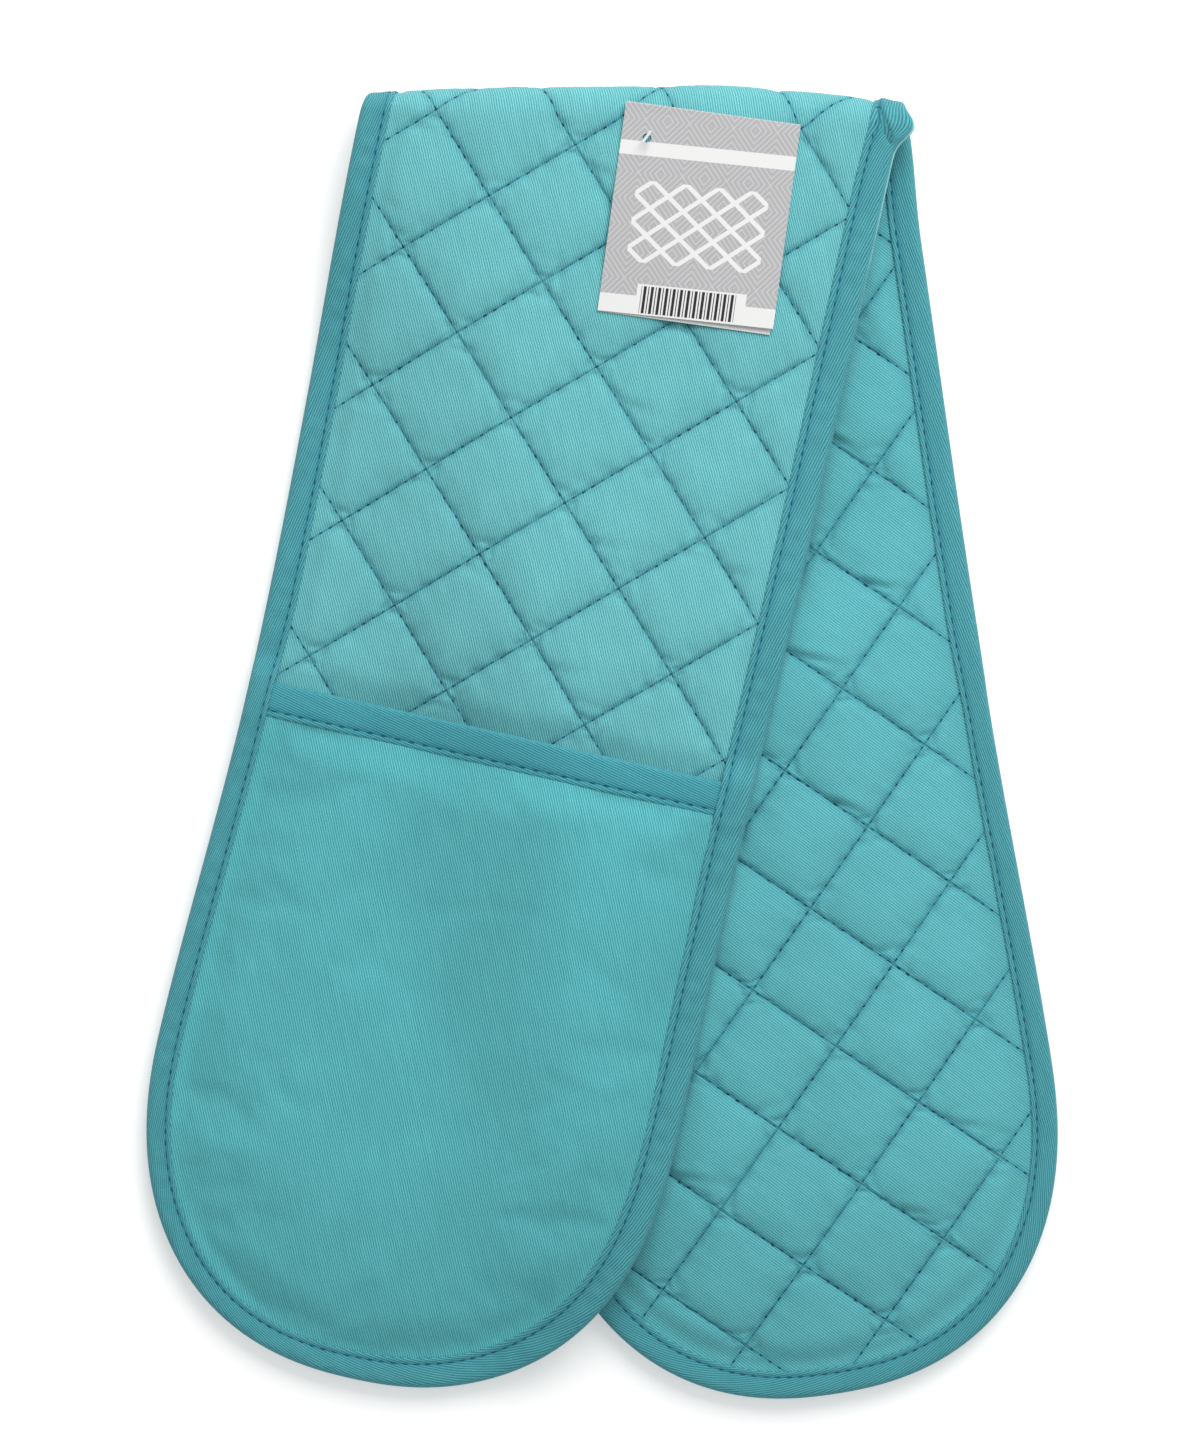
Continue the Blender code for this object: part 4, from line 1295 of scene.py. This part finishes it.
def pocket_sheet(side, seed):
    """Flat grid of a pocket, with the height of its outside."""
    along = np.arange(MOUTH + PANEL_START, HALF_LENGTH, PANEL_STEP)
    across = np.arange(-LOBE_WIDTH / 2, LOBE_WIDTH / 2 + PANEL_STEP, PANEL_STEP)
    along, across = np.meshgrid(along, across, indexing="ij")
    used, faces = squares_inside(along, across)
    along, across = along.ravel()[used], across.ravel()[used]
    top = panel_outside(along, across)
    start = np.stack([along, across, top], -1)
    held = (swell_distance(along, across) <= 0) | (along < HEM_LINE)
    start[:, 2] += np.where(held, 0, ripple(along, across, seed, PANEL_RIPPLE, *PANEL_WAVES))
    moved = simulate(start, faces.tolist(), held, PANEL_PRESSURE, PANEL_SLACK)
    top = top + np.clip(moved[:, 2] - top, PANEL_LEAST, PANEL_MOST)
    return side * along, across, top, faces


def pocket(name, side, seed):
    """Panel with its wadding, lining and hem of one hand pocket."""
    along, across, top, faces = pocket_sheet(side, seed)
    base = pocket_base(along, across)
    cloth = np.stack([along, across], -1)
    for kind, low, high, material, slot, nodes in (
        ("panel", base + LINING + CLEARANCE, top, POCKET_TWILL, "twill", ("panel", "wadding")),
        ("lining", base, base + LINING, LINING_COTTON, "lining", ("lining",)),
    ):
        closed, rim = closed_between(len(along), faces.tolist())
        points = np.concatenate([place_strap(along, across, high), place_strap(along, across, low)])
        twice = np.tile(cloth, (2, 1))
        thing = piece(f"{name}_pocket_{kind}", points, closed, material, twice, rim)
        recalculate(thing)
        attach(thing, name + "_half")
        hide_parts(*[f"{name}_pocket_{node}" for node in nodes])
    hem(name, side)


def hem(name, side):
    """Tape folded over the mouth of a pocket, with its stitches."""
    reach = float(half_width(MOUTH)) - HEM_END
    across = np.linspace(-reach, reach, round(2 * reach / HEM_STEP) + 1)
    ripples = 1 + HEM_RIPPLE * np.cos(2 * np.pi * across / HEM_PITCH)
    columns = []
    for down, swell in HEM_SECTION:
        swell = swell * ripples if abs(down - HEM_STITCH_LINE) < HEM_RIPPLE_REACH else swell
        columns.append((down, panel_outside(MOUTH + down, across) + swell * HEM_WALL))
    over = panel_outside(MOUTH + HEM_EDGE, across) + HEM_EDGE_SWELL * HEM_WALL
    under = pocket_base(MOUTH + HEM_EDGE, across) - CLEARANCE - HEM_WALL
    columns += rounded(over, under, HEM_ROUND, HEM_SIDES)
    for down, swell in HEM_SECTION[::-1]:
        wanted = min(swell, 1.0) * HEM_WALL
        columns.append((down, pocket_base(MOUTH + down, across) - CLEARANCE - wanted))
    for down in (HEM_WIDTH, HEM_INNER):
        columns.append((down, pocket_base(MOUTH + down, across) - CLEARANCE / 2))
    for down in (HEM_INNER, HEM_WIDTH):
        columns.append((down, panel_outside(MOUTH + down, across) + CLEARANCE / 2))
    sections = []
    for down, height in columns:
        sections.append(place_strap(side * (MOUTH + down) + 0 * across, across, height))
    downs = wrapped([column[0] for column in columns], len(HEM_SECTION), HEM_SIDES + 1)
    points, faces, cloth, rim = tube(sections, downs, across)
    thing = piece(name + "_pocket_hem_tape", points, faces, HEM_TWILL, cloth, rim)
    recalculate(thing)
    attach(thing, name + "_half")
    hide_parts(name + "_pocket_hem")
    marks = np.arange(-reach + HEM_THREAD_END, reach - HEM_THREAD_END, HEM_PITCH)
    line = side * (MOUTH + HEM_STITCH_LINE) + 0 * marks
    above = HEM_SEAM_SWELL * HEM_WALL
    for kind, height, way in (
        ("upper", panel_outside(line, marks) + above + HEM_THREAD_LIFT, 1),
        ("lower", pocket_base(line, marks) - CLEARANCE - above - HEM_THREAD_LIFT, -1),
    ):
        before, after, outward = laid(line, marks, 0 * marks, TAPE_STITCH + 0 * marks, height)
        row = f"{name}_hem_stitches_{kind}"
        sewn = stitches(row, before, after, outward * way, TAPE_RADIUS, TAPE_THREAD)
        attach(sewn, name + "_half")


pocket("front", 1, 11)
pocket("back", -1, 12)

# Tag
TAG_WIDTH = 0.058
CARD = 0.0004
CARD_GAP = 0.0003
TAG_TURN = math.radians(6.0)
PIN_FROM_TOP = 0.0107
PIN_FROM_SIDE = 0.0084
CARD_HOLE_RADIUS = 0.0015
CARD_ROWS = 28
CARD_COLUMNS = 24
PIN_ACROSS = 0.0037
PIN_BELOW_CREST = 0.0171
PIN = np.array((PIN_ACROSS, CENTRING + FOLD_RADIUS + EDGE_HALF + CROWN - PIN_BELOW_CREST))
CREASE_HEIGHT = FRONT_TOP + EDGE_HALF + CROWN + CLEARANCE + CARD + CARD_GAP / 2
REAR_BOTTOM = ((-0.0290, 0.0692), (0.0282, 0.0694))
FRONT_BOTTOM = ((-TAG_WIDTH / 2, 0.0690), (TAG_WIDTH / 2, 0.0674))
CREASE_ROOM = 0.00025
REAR_CURL, FRONT_CURL = 0.0002, 0.0011
CURL_LEAN = 0.4
CURL_WAVE = 0.1
CURL_WAVES = (6, 4)
FOLD_SIDES = 8
FOLD_OVERLAP = 0.00001
HOLE_SIDES = 32
HOLE_DEPTH = 0.02
# The card's print, in millimetres of the card: how far down per step to the right, the lozenges'
# widths and heights, and boxes as left, top, width and height
PRINT_SLANT = 0.034
PRINT_SOFT = 0.12
LOZENGE = (14.5, 17.5, 0.0, 4.0)
LOZENGE_RINGS = 4.0
RING_INK = 0.7
WHITE_BOXES = ((-40.0, 11.2, 80.0, 4.7), (-40.0, 62.0, 80.0, 12.0))
EMBLEM = (11.0, 9.0, 0.0, 42.0)
EMBLEM_BOX = (-22.0, 24.0, 44.0, 27.0)
EMBLEM_STROKE = 0.21
LABEL_BOX = (-17.0, 58.0, 36.0, 10.0)
STRIPES_BOX = (-15.6, 58.6, 31.2, 9.0)
STRIPE_PITCH = 2.4
THICK_STRIPE, THIN_STRIPE = 0.20, 0.07
STRIPE_SOFT = 0.04
BELOW_ALL = -0.2
PRINT_FIBRES, PAPER_FIBRES = (1.4, 0.9, 4.0), (1.6, 1.1, 4.0)
PAPER_RELIEF = 0.00003
NYLON_GRAIN = 900


def masks(recipe, value, low, high, soft):
    """1 where a value lies between two others, 0 elsewhere, with soft steps."""
    rise = recipe.times(recipe.minus(value, low), 1 / soft)
    fall = recipe.times(recipe.minus(high, value), 1 / soft)
    return recipe.clamped(recipe.plus(recipe.least(rise, fall), 0.5))


def box_mask(recipe, right, down, left, top, width, height):
    """1 inside a box of the card, 0 outside."""
    across = masks(recipe, right, left, left + width, PRINT_SOFT)
    return recipe.times(across, masks(recipe, down, top, top + height, PRINT_SOFT))


def lozenge(recipe, right, down, width, height, middle_right, middle_down):
    """0 in the middle of a lozenge and 1 at its outline, repeated at this width and height."""
    over = recipe.times(recipe.minus(right, middle_right), 1 / width)
    under = recipe.times(recipe.minus(down, middle_down), 1 / height)
    over, under = recipe.math("PINGPONG", over, 0.5), recipe.math("PINGPONG", under, 0.5)
    return recipe.times(recipe.plus(over, under), 2.0)


def card_print():
    """Grey card: nested lozenges, two white bands, an emblem of lozenges, a block of stripes."""
    recipe = Recipe("card_print")
    right, down = recipe.uv()
    down = recipe.fuse(right, PRINT_SLANT, down)
    fibres = recipe.noise(right, down, *PRINT_FIBRES)
    nested = lozenge(recipe, right, down, *LOZENGE)
    rings = recipe.math("PINGPONG", recipe.times(nested, LOZENGE_RINGS), 0.5)
    lines = masks(recipe, rings, BELOW_ALL, 0.12, 0.08)
    colour = recipe.blend(recipe.times(lines, RING_INK), rgb(187, 187, 189), rgb(222, 222, 222))
    white = recipe.most(*(box_mask(recipe, right, down, *box) for box in WHITE_BOXES))
    emblem = lozenge(recipe, right, down, *EMBLEM)
    from_outline = recipe.math("ABSOLUTE", recipe.minus(emblem, 1.0))
    strokes = masks(recipe, from_outline, -1.0, EMBLEM_STROKE, STRIPE_SOFT)
    strokes = recipe.times(strokes, box_mask(recipe, right, down, *EMBLEM_BOX))
    white = recipe.most(white, strokes)
    white = recipe.most(white, box_mask(recipe, right, down, *LABEL_BOX))
    colour = recipe.blend(white, colour, rgb(244, 244, 243))
    even = recipe.math("PINGPONG", recipe.times(right, 1 / STRIPE_PITCH), 0.5)
    odd = recipe.math("PINGPONG", recipe.fuse(right, 1 / STRIPE_PITCH, 0.5), 0.5)
    thick = masks(recipe, even, BELOW_ALL, THICK_STRIPE, STRIPE_SOFT)
    thin = masks(recipe, odd, BELOW_ALL, THIN_STRIPE, STRIPE_SOFT)
    stripes = recipe.most(thick, thin)
    stripes = recipe.times(stripes, box_mask(recipe, right, down, *STRIPES_BOX))
    colour = recipe.blend(stripes, colour, rgb(40, 40, 44))
    colour = recipe.shaded(colour, recipe.fuse(fibres, 0.05, 0.975))
    recipe.bump(fibres, PAPER_RELIEF, 0.5)
    return recipe.finish(colour, recipe.fuse(fibres, 0.2, 0.42))


def card_paper():
    """The bare white edge and back of the card."""
    recipe = Recipe("card_paper")
    right, down = recipe.uv()
    fibres = recipe.noise(right, down, *PAPER_FIBRES)
    recipe.bump(fibres, PAPER_RELIEF, 0.5)
    colour = recipe.ramp(fibres, ((0.2, rgb(226, 226, 224)), (0.8, rgb(244, 244, 242))))
    return recipe.finish(colour, recipe.fuse(fibres, 0.2, 0.6))


def nylon():
    """Cloudy nylon of the pin."""
    recipe = Recipe("nylon")
    place_at = recipe.tree.nodes.new("ShaderNodeTexCoord").outputs["Object"]
    node = recipe.tree.nodes.new("ShaderNodeTexNoise")
    node.inputs["Scale"].default_value = NYLON_GRAIN
    recipe.put(node.inputs["Vector"], place_at)
    recipe.bump(node.outputs[0], PAPER_RELIEF, 0.4)
    colour = recipe.ramp(node.outputs[0], ((0.2, rgb(226, 232, 232)), (0.8, rgb(246, 248, 246))))
    return recipe.finish(colour, recipe.fuse(node.outputs[0], 0.2, 0.22))


CARD_MATERIALS = (card_print(), card_paper())


def leaf(name, level, bottom, curl, ring):
    """One leaf of the folded card, hanging from the crease, with its hole."""
    columns, rows = np.linspace(-0.5, 0.5, CARD_COLUMNS + 1), np.linspace(0, 1, CARD_ROWS + 1)
    right, down = np.meshgrid(columns, rows, indexing="ij")
    left_low, right_low = np.array(bottom)
    top_edge = mix(-TAG_WIDTH / 2, TAG_WIDTH / 2, right + 0.5)
    across = mix(top_edge, mix(left_low[0], right_low[0], right + 0.5), down)
    below = mix(0.0 if ring else CREASE_ROOM, mix(left_low[1], right_low[1], right + 0.5), down)
    wave = np.sin(CURL_WAVES[0] * down + CURL_WAVES[1] * right)
    lift = curl * down**2 * (CURL_LEAN + right) + CURL_WAVE * curl * wave
    order = np.arange(across.size).reshape(across.shape)
    quads = squares(order)[..., (0, 3, 2, 1)].reshape(-1, 4)
    closed, _ = closed_between(across.size, quads.tolist())
    flat = np.stack([across, -below], -1).reshape(-1, 2)
    top = np.concatenate([flat, (level + CARD + lift * (down > 0)).reshape(-1, 1)], 1)
    under = top - (0, 0, CARD)
    local = np.concatenate([top, under])
    cloth = np.tile(np.stack([across, below], -1).reshape(-1, 2), (2, 1))
    walls = np.arange(len(closed)) >= 2 * len(quads)
    if ring:
        local, closed, cloth, walls = with_ring(local, closed, cloth, walls)
    to_crease = np.array((TAG_WIDTH / 2 - PIN_FROM_SIDE, PIN_FROM_TOP))
    cosine, sine = math.cos(TAG_TURN), math.sin(TAG_TURN)
    turned = (local[:, :2] + to_crease) @ np.array(((cosine, sine), (-sine, cosine))).T
    placed = np.concatenate([PIN + turned, CREASE_HEIGHT + local[:, 2:]], 1)
    thing = piece(name, placed, closed, CARD_MATERIALS[0], cloth)
    thing.data.materials.append(CARD_MATERIALS[1])
    paper = walls.astype(np.int32)
    paper[len(quads) if ring else 0 : 2 * len(quads)] = 1
    thing.data.polygons.foreach_set("material_index", paper)
    thing.data.shade_flat()
    recalculate(thing)
    pierce(thing)
    return thing


def with_ring(local, closed, cloth, walls):
    """Adds the rounded fold that joins this leaf to the one below."""
    outer, inner = CARD + CARD_GAP / 2, CARD_GAP / 2
    sections = []
    for radius in (outer, inner):
        turns = np.linspace(math.pi / 2, -math.pi / 2, FOLD_SIDES + 1)
        turns = turns if radius == outer else turns[::-1]
        sections += [(radius * math.cos(turn), radius * math.sin(turn)) for turn in turns]
    start = len(local)
    points = []
    for right in (-TAG_WIDTH / 2, TAG_WIDTH / 2):
        points += [(right, back + FOLD_OVERLAP, height) for back, height in sections]
    count = len(sections)
    near, far = [list(range(first, first + count)) for first in (start, start + count)]
    faces = []
    for step in range(count):
        after = (step + 1) % count
        faces.append([near[step], near[after], far[after], far[step]])
    faces += [near, far[::-1]]
    local = np.concatenate([local, points])
    cloth = np.concatenate([cloth, np.array(points)[:, :2] * (1, -1)])
    return local, closed + faces, cloth, np.concatenate([walls, np.zeros(len(faces), bool)])


def pierce(thing):
    """Cuts the pin's hole through a leaf."""
    mesh = bmesh.new()
    radii = {"radius1": CARD_HOLE_RADIUS, "radius2": CARD_HOLE_RADIUS}
    bmesh.ops.create_cone(mesh, cap_ends=True, segments=HOLE_SIDES, depth=HOLE_DEPTH, **radii)
    data = bpy.data.meshes.new("hole")
    mesh.to_mesh(data)
    mesh.free()
    cutter = linked("hole", data)
    cutter.location = (*PIN, CREASE_HEIGHT)
    modifier = thing.modifiers.new("hole", "BOOLEAN")
    modifier.solver = "EXACT"
    modifier.object = cutter
    bpy.context.view_layer.update()
    evaluated = thing.evaluated_get(bpy.context.evaluated_depsgraph_get())
    cut = bpy.data.meshes.new_from_object(evaluated)
    thing.modifiers.clear()
    thing.data = cut
    bpy.data.objects.remove(cutter)


rear_leaf = leaf("tag_rear_card", -CARD - CARD_GAP / 2, REAR_BOTTOM, REAR_CURL, False)
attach(rear_leaf, "tag")
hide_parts("tag_rear_leaf")
front_leaf = leaf("tag_front_card", CARD_GAP / 2, FRONT_BOTTOM, FRONT_CURL, True)
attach(front_leaf, "tag_leaf")
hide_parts("tag_front_leaf")
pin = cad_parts["tag_pin"].data
pin.materials.clear()
pin.materials.append(nylon())


# Stage
FLOOR_REACH = 3.0
FLOOR_GLOW = 0.35
ROOM_LIGHT = 0.45
KEY_PLACE = (0.43, 1.19, 1.3)
KEY_SIZE = 1.2
KEY_WATTS = 23
SENSOR = 36
LENS = 135
FRAME_HEIGHT = 0.4766
CAMERA_ACROSS, CAMERA_UP = -0.0057, 0.0073
SUBJECT_HEIGHT = 0.012
CAMERA_TURN = math.radians(1.8)


def stage():
    """Floor, soft light and camera."""
    mesh = bpy.data.meshes.new("floor")
    signs = ((-1, -1), (1, -1), (1, 1), (-1, 1))
    corners = [(FLOOR_REACH * across, FLOOR_REACH * up, 0) for across, up in signs]
    mesh.from_pydata(corners, [], [(0, 1, 2, 3)])
    floor = linked("floor", mesh)
    recipe = Recipe("floor_white")
    recipe.finish(rgb(250, 250, 250), 0.9)
    path = recipe.tree.nodes.new("ShaderNodeLightPath")
    seen = recipe.most(path.outputs["Is Camera Ray"], path.outputs["Is Glossy Ray"])
    seen = recipe.most(seen, path.outputs["Is Transmission Ray"])
    recipe.shader.inputs["Emission Color"].default_value = (1, 1, 1, 1)
    recipe.put(recipe.shader.inputs["Emission Strength"], recipe.times(seen, FLOOR_GLOW))
    mesh.materials.append(recipe.material)

    world = bpy.data.worlds.new("room")
    bpy.context.scene.world = world
    world.use_nodes = True
    background = world.node_tree.nodes["Background"]
    background.inputs["Color"].default_value = (1, 1, 1, 1)
    background.inputs["Strength"].default_value = ROOM_LIGHT

    lamp = bpy.data.lights.new("key", "AREA")
    lamp.energy = KEY_WATTS
    lamp.size = KEY_SIZE
    key = linked("key", lamp)
    key.location = KEY_PLACE
    key.rotation_euler = (-key.location).to_track_quat("-Z", "Y").to_euler()

    lens = bpy.data.cameras.new("camera")
    camera = linked("camera", lens)
    bpy.context.scene.camera = camera
    lens.sensor_width = SENSOR
    lens.lens = LENS
    camera.location = (CAMERA_ACROSS, CAMERA_UP, SUBJECT_HEIGHT + FRAME_HEIGHT * LENS / SENSOR)
    camera.rotation_euler = (0, 0, CAMERA_TURN)
    bpy.context.scene.view_settings.view_transform = "Standard"


stage()
